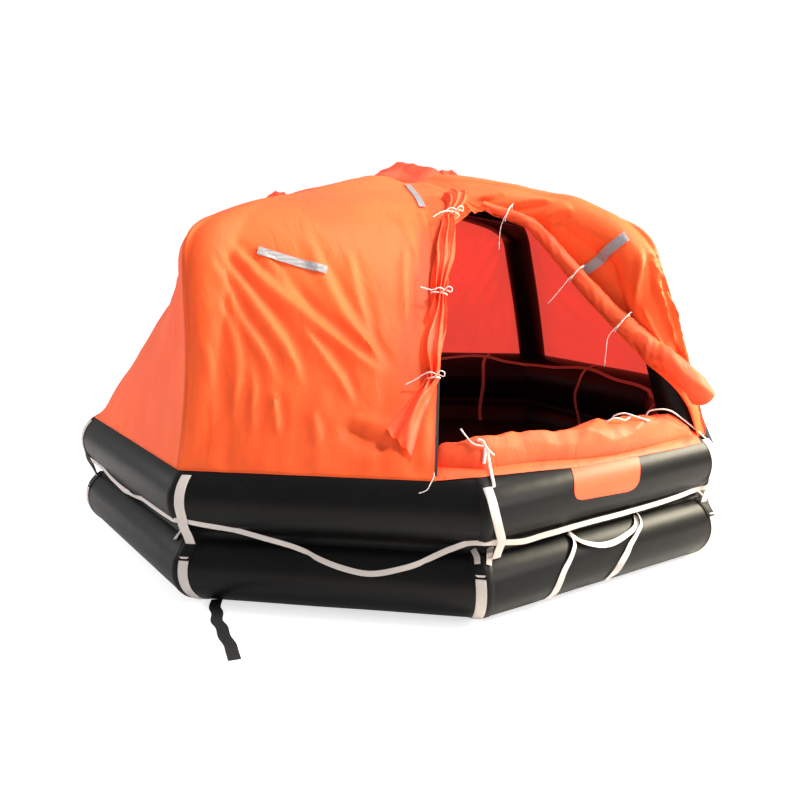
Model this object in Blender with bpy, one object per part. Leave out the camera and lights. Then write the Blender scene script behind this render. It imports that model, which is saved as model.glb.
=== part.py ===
# Inflatable life raft for twenty persons, standing on the ground as it is shown for inspection.
# Two eight-sided buoyancy tubes carry a floor, two crossed arches and an orange canopy with an
# entrance at each end. Metres, +Z up. The entrance seen in front is towards -Y.
# The origin is on the ground, under the middle of the raft.
# Azimuth 0 is towards -Y and turns towards +X. Corner k of the octagon is at azimuth 45 k degrees,
# and side k runs from corner k to corner k + 1.

import math

import bmesh
import bpy
import numpy as np

# Driving dimensions
FLOOR_APOTHEM = 1.50          # middle to the inner side of the tubes: 7.4 square metres, 20 x 0.372
TUBE_R = 0.180                # buoyancy tube radius, to the corners of its section
TUBE_SIDES = 32
SEAT = 0.0003                 # gap that touching pieces keep
SIDES = 8
ARCH_R = 0.100
ARCH_SIDES = 20
APEX_Z = 2.070                # top of the canopy at its middle
SHOULDER_RADIUS = 1.655       # outside of the canopy where an arch bends down
SHOULDER_Z = 1.800
EDGE_ANGLE = 54.0             # where the canopy meets the upper tube, degrees above level
CLOTH = 0.008                 # canopy wall
WEBBING = 0.003

# The octagon and the tubes
TURN = 2 * math.pi / SIDES
HALF_TURN = TURN / 2
AXIS_APOTHEM = FLOOR_APOTHEM + TUBE_R
FLAT_R = TUBE_R * math.cos(math.pi / TUBE_SIDES)
LOWER_Z = FLAT_R
UPPER_Z = 3 * FLAT_R + SEAT
LEG_CORNERS = (7, 1, 3, 5)    # azimuths -45, 45, 135 and 225

# The canopy
EDGE_APOTHEM = AXIS_APOTHEM + (TUBE_R + SEAT) * math.cos(math.radians(EDGE_ANGLE))
EDGE_Z = UPPER_Z + (TUBE_R + SEAT) * math.sin(math.radians(EDGE_ANGLE))
EDGE_LIFT = math.radians(5.0)          # how far up the tube the cloth's inner side meets it
ARCH_CLEAR = ARCH_R + CLOTH + 0.013    # arch axis to the canopy's outside: cloth, then a free gap
SEAM = 0.0005                          # gap between two canopy pieces
WRAP_CLEAR = 0.004                     # added where the cloth wraps round an arch leg
CABIN_MIDDLE = np.array([0.0, 0.0, 0.9])
APEX_HOLE = 0.070                      # radius of the middle, under the lookout sleeve
HOOD = (0.26, -0.61)                   # plan position of the top of the front entrance
CURTAIN_FOOT = 0.36                    # left curtain's foot, from the front corner along the tube
HOOD_SHARE = 0.70                      # share of the entrance edge's rows below the hood
FLAP_FOOT = 0.06                       # right flap's foot, from its corner along the tube
SHOULDER_ROW = 0.55                    # share of a canopy piece's rows below the shoulder
SHOULDER_SAG = 0.07           # how far a side bay sags between its shoulders
SHOULDER_SAG_ROWS = 0.16
BAY_SAG = 0.03                # and over its whole height


def direction(azimuth):
    return np.array([math.sin(azimuth), -math.cos(azimuth), 0.0])


def level(radius, azimuth, height):
    return radius * direction(azimuth) + np.array([0.0, 0.0, height])


def corner(apothem, height, k):
    return level(apothem / math.cos(HALF_TURN), k * TURN, height)


def on_side(k, along, apothem, height):
    """Point beside side k: along is measured from its middle towards corner k + 1."""
    azimuth = (k + 0.5) * TURN
    tangent = np.array([math.cos(azimuth), math.sin(azimuth), 0.0])
    return level(apothem, azimuth, height) + along * tangent


def on_tube(k, along, angle, proud, centre_z):
    """Point on a tube's skin on side k, angle in radians above level, proud of the skin."""
    reach = TUBE_R + proud
    return on_side(k, along, AXIS_APOTHEM + reach * math.cos(angle), centre_z + reach * math.sin(angle))


def unit(vector):
    return vector / np.linalg.norm(vector)


def lerp(start, end, share):
    return start + (end - start) * share


def material(name, colour, roughness, metallic=0.0):
    made = bpy.data.materials.get(name)
    if made:
        return made
    made = bpy.data.materials.new(name)
    made.use_nodes = True
    made.diffuse_color = (*colour, 1.0)
    shader = made.node_tree.nodes["Principled BSDF"]
    shader.inputs["Base Color"].default_value = (*colour, 1.0)
    shader.inputs["Roughness"].default_value = roughness
    shader.inputs["Metallic"].default_value = metallic
    return made


def black_rubber():
    return material("black_rubber", (0.018, 0.019, 0.022), 0.42)


def orange_cloth():
    return material("orange_cloth", (1.0, 0.16, 0.035), 0.62)


def red_cloth():
    return material("red_cloth", (0.90, 0.06, 0.03), 0.60)


def pale_webbing():
    return material("pale_webbing", (0.80, 0.74, 0.71), 0.80)


def black_webbing():
    return material("black_webbing", (0.015, 0.015, 0.016), 0.75)


def painted_steel():
    return material("painted_steel", (0.55, 0.04, 0.03), 0.35)


def brass():
    return material("brass", (0.72, 0.52, 0.22), 0.30, 1.0)


def solid(name, points, faces, finish, smooth_angle=35.0):
    """One closed body from points and faces, its faces turned outwards."""
    mesh = bpy.data.meshes.new(name)
    mesh.from_pydata([tuple(point) for point in points], [], faces)
    shape = bmesh.new()
    shape.from_mesh(mesh)
    bmesh.ops.recalc_face_normals(shape, faces=shape.faces)
    shape.to_mesh(mesh)
    shape.free()
    mesh.shade_smooth()
    mesh.set_sharp_from_angle(angle=math.radians(smooth_angle))
    mesh.materials.append(finish)
    body = bpy.data.objects.new(name, mesh)
    bpy.context.scene.collection.objects.link(body)
    return body


def grid_faces(rows, columns, start, looped=False):
    """Triangles of a grid, all cut the same way, so that two walls can't cross where they twist."""
    faces = []
    for row in range(rows if looped else rows - 1):
        here, after = start + row * columns, start + (row + 1) % rows * columns
        for column in range(columns - 1):
            faces.append((here + column, here + column + 1, after + column + 1))
            faces.append((here + column, after + column + 1, after + column))
    return faces


def shell(name, outer, inner, finish, looped=False, smooth_angle=35.0):
    """A closed wall between two grids of points, both rows x columns x 3."""
    rows, columns = outer.shape[:2]
    points = np.concatenate([outer.reshape(-1, 3), inner.reshape(-1, 3)])
    under = rows * columns
    faces = grid_faces(rows, columns, 0, looped)
    faces += [tuple(reversed(face)) for face in grid_faces(rows, columns, under, looped)]
    for row in range(rows if looped else rows - 1):
        here, after = row * columns, (row + 1) % rows * columns
        for side in (0, columns - 1):
            faces.append((here + side, after + side, under + after + side, under + here + side))
    if not looped:
        for edge in (0, (rows - 1) * columns):
            for column in range(edge, edge + columns - 1):
                faces.append((column, column + 1, under + column + 1, under + column))
    return solid(name, points, faces, finish, smooth_angle)


def octagon_ring(name, profile, finish):
    """A closed profile of (apothem, height) pairs carried round the octagon with mitred corners."""
    count = len(profile)
    points = [corner(apothem, height, k) for k in range(SIDES) for apothem, height in profile]
    faces = []
    for k in range(SIDES):
        here, after = k * count, (k + 1) % SIDES * count
        for step in range(count):
            follow = (step + 1) % count
            faces.append((here + step, here + follow, after + follow, after + step))
    return solid(name, points, faces, finish)


def tube_profile(centre_z, radius):
    angles = [(step + 0.5) * 2 * math.pi / TUBE_SIDES for step in range(TUBE_SIDES)]
    return [(AXIS_APOTHEM + radius * math.cos(angle), centre_z + radius * math.sin(angle))
            for angle in angles]


def skin_angles(high, low):
    """The tube section's corner angles from high down to low, in degrees above level."""
    step = 360.0 / TUBE_SIDES
    angles = np.arange(TUBE_SIDES // 2, -TUBE_SIDES // 2 - 1, -1) * step + step / 2
    return np.radians(angles[(angles <= high) & (angles >= low)])


def add_tubes():
    octagon_ring("lower_buoyancy_tube", tube_profile(LOWER_Z, TUBE_R), black_rubber())
    octagon_ring("upper_buoyancy_tube", tube_profile(UPPER_Z, TUBE_R), black_rubber())


FLOOR_THICK = 0.030
FLOOR_LOW = LOWER_Z - FLOOR_THICK / 2


def add_floor():
    apothem = AXIS_APOTHEM - FLAT_R - SEAT
    points = [corner(apothem, height, k) for height in (FLOOR_LOW, FLOOR_LOW + FLOOR_THICK)
              for k in range(SIDES)]
    faces = [tuple(range(SIDES)), tuple(range(SIDES, 2 * SIDES))]
    for k in range(SIDES):
        after = (k + 1) % SIDES
        faces.append((k, after, after + SIDES, k + SIDES))
    solid("floor", points, faces, black_rubber())


# The arches follow the canopy's ridges, far enough inside for the cloth to lie over them.
def arch_lines():
    """Plan radius and height of a leg's foot, the bend and the crown end of an arch's axis."""
    foot = np.array([EDGE_APOTHEM / math.cos(HALF_TURN), EDGE_Z])
    shoulder = np.array([SHOULDER_RADIUS, SHOULDER_Z])
    apex = np.array([0.0, APEX_Z])
    leg = unit(shoulder - foot)
    beam = unit(shoulder - apex)
    leg_inset = ARCH_CLEAR / math.cos(HALF_TURN) * np.array([-leg[1], leg[0]])
    roof_tilt = math.atan2(APEX_Z - SHOULDER_Z, SHOULDER_RADIUS)
    beam_inset = ARCH_CLEAR / math.cos(roof_tilt) * np.array([beam[1], -beam[0]])
    leg_start, beam_start = foot + leg_inset, apex + beam_inset
    steps = np.linalg.solve(np.array([leg, -beam]).T, beam_start - leg_start)
    bend = leg_start + leg * steps[0]
    return leg_start - leg * 0.02, bend, beam_start


ARCH_FOOT, ARCH_BEND, ARCH_CROWN = arch_lines()
CROWN_HALF = 0.150
BEND_RADIUS = 0.160


def ridge_point(pair, k):
    return level(pair[0], k * TURN, pair[1])


def round_tube(name, stations, radii, finish, sides=ARCH_SIDES):
    """A closed tube through stations of (place, way, cut): each section is a circle square to way,
    slid along it on to the plane through place with the normal cut."""
    points = []
    for (place, way, cut), radius in zip(stations, radii):
        across = unit(np.cross(way, np.array([0.0, 0.0, 1.0])))
        up = np.cross(across, way)
        for step in range(sides):
            angle = 2 * math.pi * step / sides
            spoke = radius * (math.cos(angle) * across + math.sin(angle) * up)
            points.append(place + spoke - way * spoke.dot(cut) / way.dot(cut))
    last = (len(stations) - 1) * sides
    faces = [tuple(range(sides)), tuple(range(last, last + sides))]
    for here in range(0, last, sides):
        for step in range(sides):
            after = (step + 1) % sides
            faces.append((here + step, here + after, here + sides + after, here + sides + step))
    return solid(name, points, faces, finish)


def cut_away(body, cutter):
    cutter.hide_render = True
    cutter.display_type = "WIRE"
    cut = body.modifiers.new("cut", "BOOLEAN")
    cut.operation = "DIFFERENCE"
    cut.object = cutter


def add_arches():
    tube_space = octagon_ring("tube_space", tube_profile(UPPER_Z, TUBE_R + SEAT), black_rubber())
    names = {7: "front_left", 1: "front_right", 3: "rear_right", 5: "rear_left"}
    for k in LEG_CORNERS:
        foot, bend, crown = (ridge_point(pair, k) for pair in (ARCH_FOOT, ARCH_BEND, ARCH_CROWN))
        leg_way, beam_way = unit(bend - foot), unit(bend - crown)
        bend_angle = math.acos(-leg_way.dot(beam_way))
        tangent = BEND_RADIUS * math.tan(bend_angle / 2)
        leg_top = bend - leg_way * tangent
        leg = round_tube("arch_leg_" + names[k], ((foot, leg_way, leg_way), (leg_top, leg_way, leg_way)),
                         (ARCH_R, ARCH_R), black_rubber())
        cut_away(leg, tube_space)
        crown_share = (CROWN_HALF + SEAT - ARCH_CROWN[0]) / (ARCH_BEND[0] - ARCH_CROWN[0])
        start = lerp(crown, bend, crown_share)
        stations = [(start, beam_way, direction(k * TURN))]
        arc_start = bend - beam_way * tangent
        centre_way = unit(-leg_way - beam_way)
        centre = bend + centre_way * BEND_RADIUS / math.cos(bend_angle / 2)
        for share in np.linspace(0, 1, 6):
            turned_by = bend_angle * share
            way = math.cos(turned_by) * beam_way + math.sin(turned_by) * unit(
                -leg_way - beam_way * (-leg_way).dot(beam_way))
            spoke = math.cos(turned_by) * unit(arc_start - centre) + math.sin(turned_by) * beam_way
            stations.append((centre + spoke * BEND_RADIUS, way, way))
        last = stations[-1]
        stations[-1] = (last[0] + leg_way * SEAT, last[1], last[2])
        round_tube("arch_beam_" + names[k], stations, [ARCH_R] * len(stations), black_rubber())
    low, high = ARCH_CROWN[1] - ARCH_R - 0.010, ARCH_CROWN[1] + 0.045
    reach = CROWN_HALF * math.sqrt(2)
    points = [level(reach, quarter * math.pi / 2, height) for height in (low, high)
              for quarter in range(4)]
    faces = [(0, 1, 2, 3), (4, 5, 6, 7), (0, 1, 5, 4), (1, 2, 6, 5), (2, 3, 7, 6), (3, 0, 4, 7)]
    solid("arch_crown", points, faces, black_rubber())


def keep_clear(points, clear):
    """Points nearer than the cloth allows to an arch's axis move straight away from it."""
    for k in LEG_CORNERS:
        foot, bend, crown = (ridge_point(pair, k) for pair in (ARCH_FOOT, ARCH_BEND, ARCH_CROWN))
        for start, end in ((foot, bend), (bend, crown)):
            span = end - start
            share = np.clip((points - start) @ span / span.dot(span), 0, 1)[..., None]
            away = points - (start + share * span)
            reach = np.linalg.norm(away, axis=-1, keepdims=True)
            points = np.where(reach < clear, start + share * span + away / reach * clear, points)
    return points


def follow(stations, shares, where):
    """Points at the given shares of a path through the stations, straight between them."""
    stations = np.array(stations)
    return np.stack([np.interp(where, shares, stations[:, axis]) for axis in range(3)], axis=-1)


def drape(outer, spread, clear=ARCH_CLEAR):
    """Cloth laid over the arches: rows are pushed clear of them, and their points spaced afresh."""
    for _ in range(4):
        outer = keep_clear(outer, clear)
        for row, points in enumerate(outer):
            steps = np.linalg.norm(np.diff(points, axis=0), axis=1)
            travelled = np.concatenate([[0], np.cumsum(steps)]) / steps.sum()
            if row:
                outer[row] = follow(points, travelled, spread)
    return keep_clear(outer, clear)


def hood_point():
    roof_slope = (APEX_Z - SHOULDER_Z) / (SHOULDER_RADIUS * math.cos(math.pi / 4))
    return np.array([HOOD[0], HOOD[1], APEX_Z + HOOD[1] * roof_slope])


def edge_point(k, along):
    return on_side(k, along, EDGE_APOTHEM, EDGE_Z)


EDGE_HALF = EDGE_APOTHEM * math.tan(HALF_TURN)
ROWS = np.array([0, 0.06, 0.15, 0.25, 0.35, 0.44, 0.49, 0.52, 0.55, 0.575, 0.605, 0.65, 0.70,
                 0.79, 0.89, 1.0])


def ridge_path(k):
    """A canopy ridge from the tube's corner over the shoulder to the sleeve's edge."""
    apex = level(APEX_HOLE, k * TURN, APEX_Z - APEX_HOLE * (APEX_Z - SHOULDER_Z) / SHOULDER_RADIUS)
    stations = [corner(EDGE_APOTHEM, EDGE_Z, k), level(SHOULDER_RADIUS, k * TURN, SHOULDER_Z), apex]
    return follow(stations, [0, SHOULDER_ROW, 1], ROWS)


def hood_path(foot):
    """The entrance's edge from its foot up to the hood, and the seam from there to the sleeve."""
    hood = hood_point()
    plan = math.hypot(*HOOD)
    inner = np.array([HOOD[0], HOOD[1], 0.0]) / plan * APEX_HOLE
    inner[2] = lerp(APEX_Z, hood[2], APEX_HOLE / plan)
    return follow([foot, hood, inner], [0, HOOD_SHARE, 1], ROWS)


def cloth_normals(points):
    down = np.gradient(points, axis=0)
    over = np.gradient(points, axis=1)
    normals = np.cross(over, down)
    normals /= np.linalg.norm(normals, axis=-1, keepdims=True)
    return normals * np.sign(np.sum(normals * (points - CABIN_MIDDLE)))


def ridge_normals(k):
    """Outward direction of a ridge in its own upright plane, level with each row."""
    outward = direction(k * TURN)
    up = np.array([0.0, 0.0, 1.0])
    leg = unit(np.array([SHOULDER_Z - EDGE_Z, EDGE_APOTHEM / math.cos(HALF_TURN) - SHOULDER_RADIUS]))
    beam = unit(np.array([APEX_Z - SHOULDER_Z, SHOULDER_RADIUS]))
    both = unit(leg + beam)
    rows = []
    for share in ROWS:
        pair = both if abs(share - SHOULDER_ROW) < 1e-6 else leg if share < SHOULDER_ROW else beam
        rows.append(pair[0] * outward + pair[1] * up)
    return np.array(rows)


def foot_inside(points):
    """The wall's inner foot: the same points a little further up the upper tube."""
    moved = []
    for point in points:
        sides = [(point.dot(direction((k + 0.5) * TURN)), k) for k in range(SIDES)]
        apothem, k = max(sides)
        at_corner = sum(abs(side[0] - apothem) < 2 * SEAM for side in sides) > 1
        angle = math.radians(EDGE_ANGLE) + EDGE_LIFT
        reach = TUBE_R + SEAT
        new_apothem = AXIS_APOTHEM + reach * math.cos(angle)
        new_z = UPPER_Z + reach * math.sin(angle)
        if at_corner:
            shift = new_apothem / apothem
            moved.append(np.array([point[0] * shift, point[1] * shift, new_z]))
        else:
            outward = direction((k + 0.5) * TURN)
            moved.append(point + outward * (new_apothem - apothem) + np.array([0, 0, new_z - point[2]]))
    return np.array(moved)


def canopy_piece(name, outer, normals):
    inner = outer - normals * CLOTH
    inner[0] = foot_inside(outer[0])
    return shell(name, outer, inner, orange_cloth(), smooth_angle=60.0)


def shift_border(outer, column, azimuth, amount):
    """Move a border column sideways off an upright seam plane by half the seam's gap."""
    outer[:, column] += np.array([math.cos(azimuth), math.sin(azimuth), 0.0]) * amount


NEAR_RIDGE = np.array([0, 0.028, 0.058, 0.092, 0.135, 0.20, 0.30, 0.41])


def side_bay(name, k):
    """A closed bay between the arch legs at corners k - 1 and k + 1, with corner k in its middle."""
    left, right = ridge_path(k - 1), ridge_path(k + 1)
    middle = corner(EDGE_APOTHEM, EDGE_Z, k)
    climb = np.clip(ROWS / SHOULDER_ROW, 0, 1)[:, None]
    toward_left = lerp(middle, left[ROWS.tolist().index(SHOULDER_ROW)], climb)
    toward_right = lerp(middle, right[ROWS.tolist().index(SHOULDER_ROW)], climb)
    above = (ROWS > SHOULDER_ROW)[:, None]
    toward_left = np.where(above, left, toward_left)
    toward_right = np.where(above, right, toward_right)
    spread = np.concatenate([NEAR_RIDGE, [0.5], 1 - NEAR_RIDGE[::-1]])
    columns = []
    for row in range(len(ROWS)):
        stations = [left[row], toward_left[row], toward_right[row], right[row]]
        lengths = [np.linalg.norm(stations[i + 1] - stations[i]) for i in range(3)]
        travelled = np.concatenate([[0], np.cumsum(lengths)]) / sum(lengths)
        travelled += np.arange(4) * 1e-9
        columns.append(follow(stations, travelled, spread))
    outer = np.array(columns)
    slack = 4 * spread * (1 - spread)
    sag = np.exp(-((ROWS[:, None] - SHOULDER_ROW) / SHOULDER_SAG_ROWS) ** 2) * SHOULDER_SAG * slack
    sag += BAY_SAG * slack * np.sin(math.pi * ROWS[:, None])
    sag[0] = 0
    inward = unit(-direction(k * TURN) - np.array([0, 0, 1.0]))
    outer = drape(outer + sag[..., None] * inward, spread)
    normals = cloth_normals(outer)
    normals[:, 0] = ridge_normals(k - 1)
    normals[:, -1] = ridge_normals(k + 1)
    shift_border(outer, 0, (k - 1) * TURN, SEAM / 2)
    shift_border(outer, -1, (k + 1) * TURN, -SEAM / 2)
    canopy_piece(name, outer, normals)


def turned(points, half_turns):
    return points * np.array([-1.0, -1.0, 1.0]) if half_turns else points


def entrance_left(name, half_turns):
    """Canopy between the front left ridge and the entrance's left edge."""
    ridge = ridge_path(-1)
    edge = hood_path(edge_point(-1, EDGE_HALF - CURTAIN_FOOT))
    spread = np.concatenate([NEAR_RIDGE * 1.2, [0.66, 0.83, 1.0]])
    outer = drape(lerp(ridge[:, None], edge[:, None], spread[None, :, None]), spread)
    normals = cloth_normals(outer)
    normals[:, 0] = ridge_normals(-1)
    seam = ROWS > HOOD_SHARE - 1e-6
    normals[seam, -1] = (0, 0, 1)
    shift_border(outer, 0, -TURN, SEAM / 2)
    shift_border(outer, -1, math.atan2(HOOD[0], -HOOD[1]), -SEAM / 2)
    canopy_piece(name, turned(outer, half_turns), turned(normals, half_turns))


def entrance_right(name, half_turns):
    """Canopy between the entrance's right edge and the front right ridge."""
    edge = hood_path(edge_point(0, EDGE_HALF - FLAP_FOOT))
    ridge = ridge_path(1)
    spread = np.linspace(0, 1, 12)
    clear = ARCH_CLEAR + WRAP_CLEAR * (ROWS <= SHOULDER_ROW)[:, None, None]
    outer = drape(lerp(edge[:, None], ridge[:, None], spread[None, :, None]), spread, clear)
    normals = cloth_normals(outer)
    normals[:, -1] = ridge_normals(1)
    seam = ROWS > HOOD_SHARE - 1e-6
    normals[seam, 0] = (0, 0, 1)
    shift_border(outer, -1, TURN, -SEAM / 2)
    shift_border(outer, 0, math.atan2(HOOD[0], -HOOD[1]), SEAM / 2)
    canopy_piece(name, turned(outer, half_turns), turned(normals, half_turns))


def taper_roll(name, path, radii, finish):
    """A rolled edge of cloth: round sections of the given radii along the path."""
    path = np.array(path)
    ways = [unit(way) for way in np.gradient(path, axis=0)]
    return round_tube(name, list(zip(path, ways, ways)), radii, finish, sides=12)


CURTAIN_R = 0.050
FLAP_R = 0.046


def add_rolls(end, half_turns):
    """The gathered left curtain and the rolled right flap, each beside its edge."""
    hood = hood_point()
    curtain_foot, flap_foot = edge_point(-1, EDGE_HALF - CURTAIN_FOOT), edge_point(0, EDGE_HALF - FLAP_FOOT)
    for side, foot, other, radius, reach, start in (
            ("curtain", curtain_foot, edge_point(0, 0.0), CURTAIN_R, CURTAIN_R - 0.0014, 0.14),
            ("flap", flap_foot, edge_point(0, -EDGE_HALF), FLAP_R, FLAP_R + SEAT, 0.12)):
        way = unit(foot - hood)
        aside = other - foot
        aside = unit(aside - way * aside.dot(way))
        shares = np.array([start, 0.22, 0.40, 0.60, 0.76, 0.87])
        sizes = radius * np.array([0.55, 0.85, 1.0, 1.0, 0.9, 0.6])
        offset = aside * (reach + SEAT + SEAM)
        path = [lerp(hood, foot, share) + offset for share in shares]
        taper_roll(end + "_entrance_" + side, turned(np.array(path), half_turns), sizes, orange_cloth())


SILL_THICK = 0.012
SILL_LOW, SILL_HIGH = 48.0, 112.0


def add_sill(end, half_turns):
    """The entrance's lower flap, laid over the upper tube from the curtain's foot to the arch leg."""
    angles = skin_angles(SILL_HIGH, SILL_LOW)
    left = EDGE_HALF - CURTAIN_FOOT + 0.01
    right = EDGE_HALF - FLAP_FOOT - 0.12
    walls = []
    for proud in (SEAT + SILL_THICK, SEAT):
        rows = [[on_tube(-1, left, angle, proud, UPPER_Z) for angle in angles]]
        rows.append([corner(AXIS_APOTHEM + (TUBE_R + proud) * math.cos(angle),
                            UPPER_Z + (TUBE_R + proud) * math.sin(angle), 0) for angle in angles])
        for along in (-0.35, 0.0, right):
            rows.append([on_tube(0, along, angle, proud, UPPER_Z) for angle in angles])
        walls.append(turned(np.array(rows), half_turns))
    shell(end + "_entrance_sill", walls[0], walls[1], orange_cloth())


def add_canopy():
    entrance_left("canopy_front_left", 0)
    entrance_right("canopy_front_right", 0)
    entrance_left("canopy_rear_right", 1)
    entrance_right("canopy_rear_left", 1)
    side_bay("canopy_side_left", -2)
    side_bay("canopy_side_right", 2)
    for end, half_turns in (("front", 0), ("rear", 1)):
        add_rolls(end, half_turns)
        add_sill(end, half_turns)


SLEEVE_SEAT = 0.004


def add_sleeve():
    """The tied lookout and air sleeve, a low crumpled heap over the canopy's middle."""
    spokes = 24
    ring_shares = (1.0, 0.97, 0.80, 0.55, 0.30)
    heights = (0.0, 0.035, 0.075, 0.095, 0.085)
    slope = (APEX_Z - SHOULDER_Z) / SHOULDER_RADIUS
    points = [np.array([0.0, 0.0, APEX_Z + 0.088])]
    for share, height in zip(ring_shares, heights):
        for spoke in range(spokes):
            angle = 2 * math.pi * spoke / spokes
            reach = share * (0.235 + 0.028 * math.cos(3 * angle + 0.6) + 0.016 * math.sin(5 * angle))
            crumple = 1 + 0.16 * math.sin(4 * angle + 5 * share)
            base = APEX_Z - slope * reach + SLEEVE_SEAT
            points.append(level(reach, angle, base + height * crumple))
    under = len(points)
    points.append(np.array([0.0, 0.0, APEX_Z + SLEEVE_SEAT]))
    faces = []
    for spoke in range(spokes):
        after = (spoke + 1) % spokes
        for ring in range(len(ring_shares) - 1):
            here = 1 + ring * spokes
            faces.append((here + spoke, here + after, here + spokes + after, here + spokes + spoke))
        top = 1 + (len(ring_shares) - 1) * spokes
        faces.append((top + spoke, top + after, 0))
        faces.append((1 + after, 1 + spoke, under))
    solid("lookout_sleeve", points, faces, red_cloth())


def add_light_pocket():
    """The small red pocket of the canopy light on the rear left ridge."""
    slope = (APEX_Z - SHOULDER_Z) / SHOULDER_RADIUS
    centre = level(1.02, 5 * TURN, APEX_Z - slope * 1.02 + SEAM)
    outward, tangent = direction(5 * TURN), direction(7 * TURN)
    along = unit(outward - np.array([0, 0, slope]))
    up = np.cross(along, tangent)
    up = up if up[2] > 0 else -up
    half_long, half_wide, tall = 0.075, 0.045, 0.055
    points = [centre + up * tall]
    sides = 12
    for share, lift in ((1.0, 0.0), (0.95, 0.45), (0.6, 0.88)):
        for step in range(sides):
            angle = 2 * math.pi * step / sides
            points.append(centre + along * half_long * share * math.cos(angle)
                          + tangent * half_wide * share * math.sin(angle) + up * tall * lift)
    faces = [tuple(range(1, sides + 1))]
    for step in range(sides):
        after = (step + 1) % sides
        for ring in (1, 1 + sides):
            faces.append((ring + step, ring + after, ring + sides + after, ring + sides + step))
        faces.append((1 + 2 * sides + step, 1 + 2 * sides + after, 0))
    solid("canopy_light_pocket", points, faces, red_cloth())


STRAP_HALF = 0.022


def add_corner_strap(name, k):
    """Webbing over a corner of both tubes, stretched across the groove between them."""
    upper, lower = skin_angles(44.0, -20.0), skin_angles(32.0, -64.0)
    walls = []
    for proud in (SEAT + WEBBING, SEAT):
        reach = TUBE_R + proud
        route = [(AXIS_APOTHEM + reach * math.cos(angle), UPPER_Z + reach * math.sin(angle))
                 for angle in upper]
        route += [(AXIS_APOTHEM + reach * math.cos(angle), LOWER_Z + reach * math.sin(angle))
                  for angle in lower]
        rows = []
        for apothem, height in route:
            half_side = apothem * math.tan(HALF_TURN)
            rows.append([on_side(k - 1, half_side - STRAP_HALF, apothem, height),
                         corner(apothem, height, k),
                         on_side(k, STRAP_HALF - half_side, apothem, height)])
        walls.append(np.array(rows))
    shell(name, walls[0], walls[1], pale_webbing())


LINE_HALF = 0.013
LINE_SEAT = 0.0025            # the lines cross the tube facets, so they stand a little prouder
LINE_THICK = 0.0045           # measured level, and so thinner where the skin slopes
GROOVE_APOTHEM = 1.800        # the line bridges the groove between the tubes here
LIFELINE_SEAT = 0.0017
LINE_STEPS = 12
LINE_Z = 0.420
LINE_DROOP = (0.04, 0.10, 0.14, 0.08, 0.04, 0.09, 0.05, 0.165)


def skin_apothem(height, proud):
    """How far out the tubes' outer skin lies at a height, and no deeper into their groove."""
    reach = TUBE_R + proud
    found = [GROOVE_APOTHEM]
    for centre_z in (LOWER_Z, UPPER_Z):
        if abs(height - centre_z) < reach:
            found.append(AXIS_APOTHEM + math.sqrt(reach ** 2 - (height - centre_z) ** 2))
    return max(found)


def add_grab_line():
    """The outer grab line, one loop of webbing that droops between the corner straps."""
    walls = []
    for thickness in (LINE_THICK, 0.0):
        rows = []
        for k in range(SIDES):
            for share in np.arange(LINE_STEPS) / LINE_STEPS:
                height = LINE_Z - LINE_DROOP[k] * 4 * share * (1 - share)
                row = []
                for edge in (height + LINE_HALF, height - LINE_HALF):
                    apothem = skin_apothem(edge, LINE_SEAT) + thickness
                    half_side = apothem * math.tan(HALF_TURN)
                    row.append(on_side(k, lerp(-half_side, half_side, share), apothem, edge))
                rows.append(row)
        walls.append(np.array(rows))
    shell("outer_grab_line", walls[0], walls[1], pale_webbing(), looped=True)


def add_lifeline():
    """The inner lifeline, one loop on the inner side of the upper tube."""
    walls = []
    for proud in (LIFELINE_SEAT, LIFELINE_SEAT + WEBBING):
        rows = []
        for k in range(SIDES):
            for share in np.arange(LINE_STEPS) / LINE_STEPS:
                angle = math.pi - math.radians(22.0 - 26.0 * 4 * share * (1 - share))
                row = []
                for edge in (angle - 0.055, angle + 0.055):
                    apothem = AXIS_APOTHEM + (TUBE_R + proud) * math.cos(edge)
                    half_side = apothem * math.tan(HALF_TURN)
                    row.append(on_side(k, lerp(-half_side, half_side, share), apothem,
                                       UPPER_Z + (TUBE_R + proud) * math.sin(edge)))
                rows.append(row)
        walls.append(np.array(rows))
    shell("inner_lifeline", walls[1], walls[0], pale_webbing(), looped=True)


LADDER_HALF = 0.018
STEP_SEAT = 0.0048            # the step lies over both straps
STEP_STATIONS = 20


def tube_strap(name, k, route, low, high):
    """A flat strap down the lower tube of side k, through (along, degrees) stations from the top."""
    places, degrees = np.array(route).T
    angles = skin_angles(degrees[0], degrees[-1])
    centres = np.interp(-np.degrees(angles), -degrees, places)
    walls = [np.array([[on_tube(k, centre - LADDER_HALF, angle, proud, LOWER_Z),
                        on_tube(k, centre + LADDER_HALF, angle, proud, LOWER_Z)]
                       for centre, angle in zip(centres, angles)]) for proud in (high, low)]
    return shell(name, walls[0], walls[1], pale_webbing())


def tube_step(name, k, route, low, high):
    """A flat strap along the lower tube of side k, through (along, degrees) stations."""
    turn = LADDER_HALF / TUBE_R
    places, degrees = np.array(route).T
    fine = np.linspace(places[0], places[-1], STEP_STATIONS)
    angles = np.radians(np.interp(fine, places, degrees))
    walls = [np.array([[on_tube(k, along, angle + turn, proud, LOWER_Z),
                        on_tube(k, along, angle - turn, proud, LOWER_Z)]
                       for along, angle in zip(fine, angles)]) for proud in (high, low)]
    return shell(name, walls[0], walls[1], pale_webbing())


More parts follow.
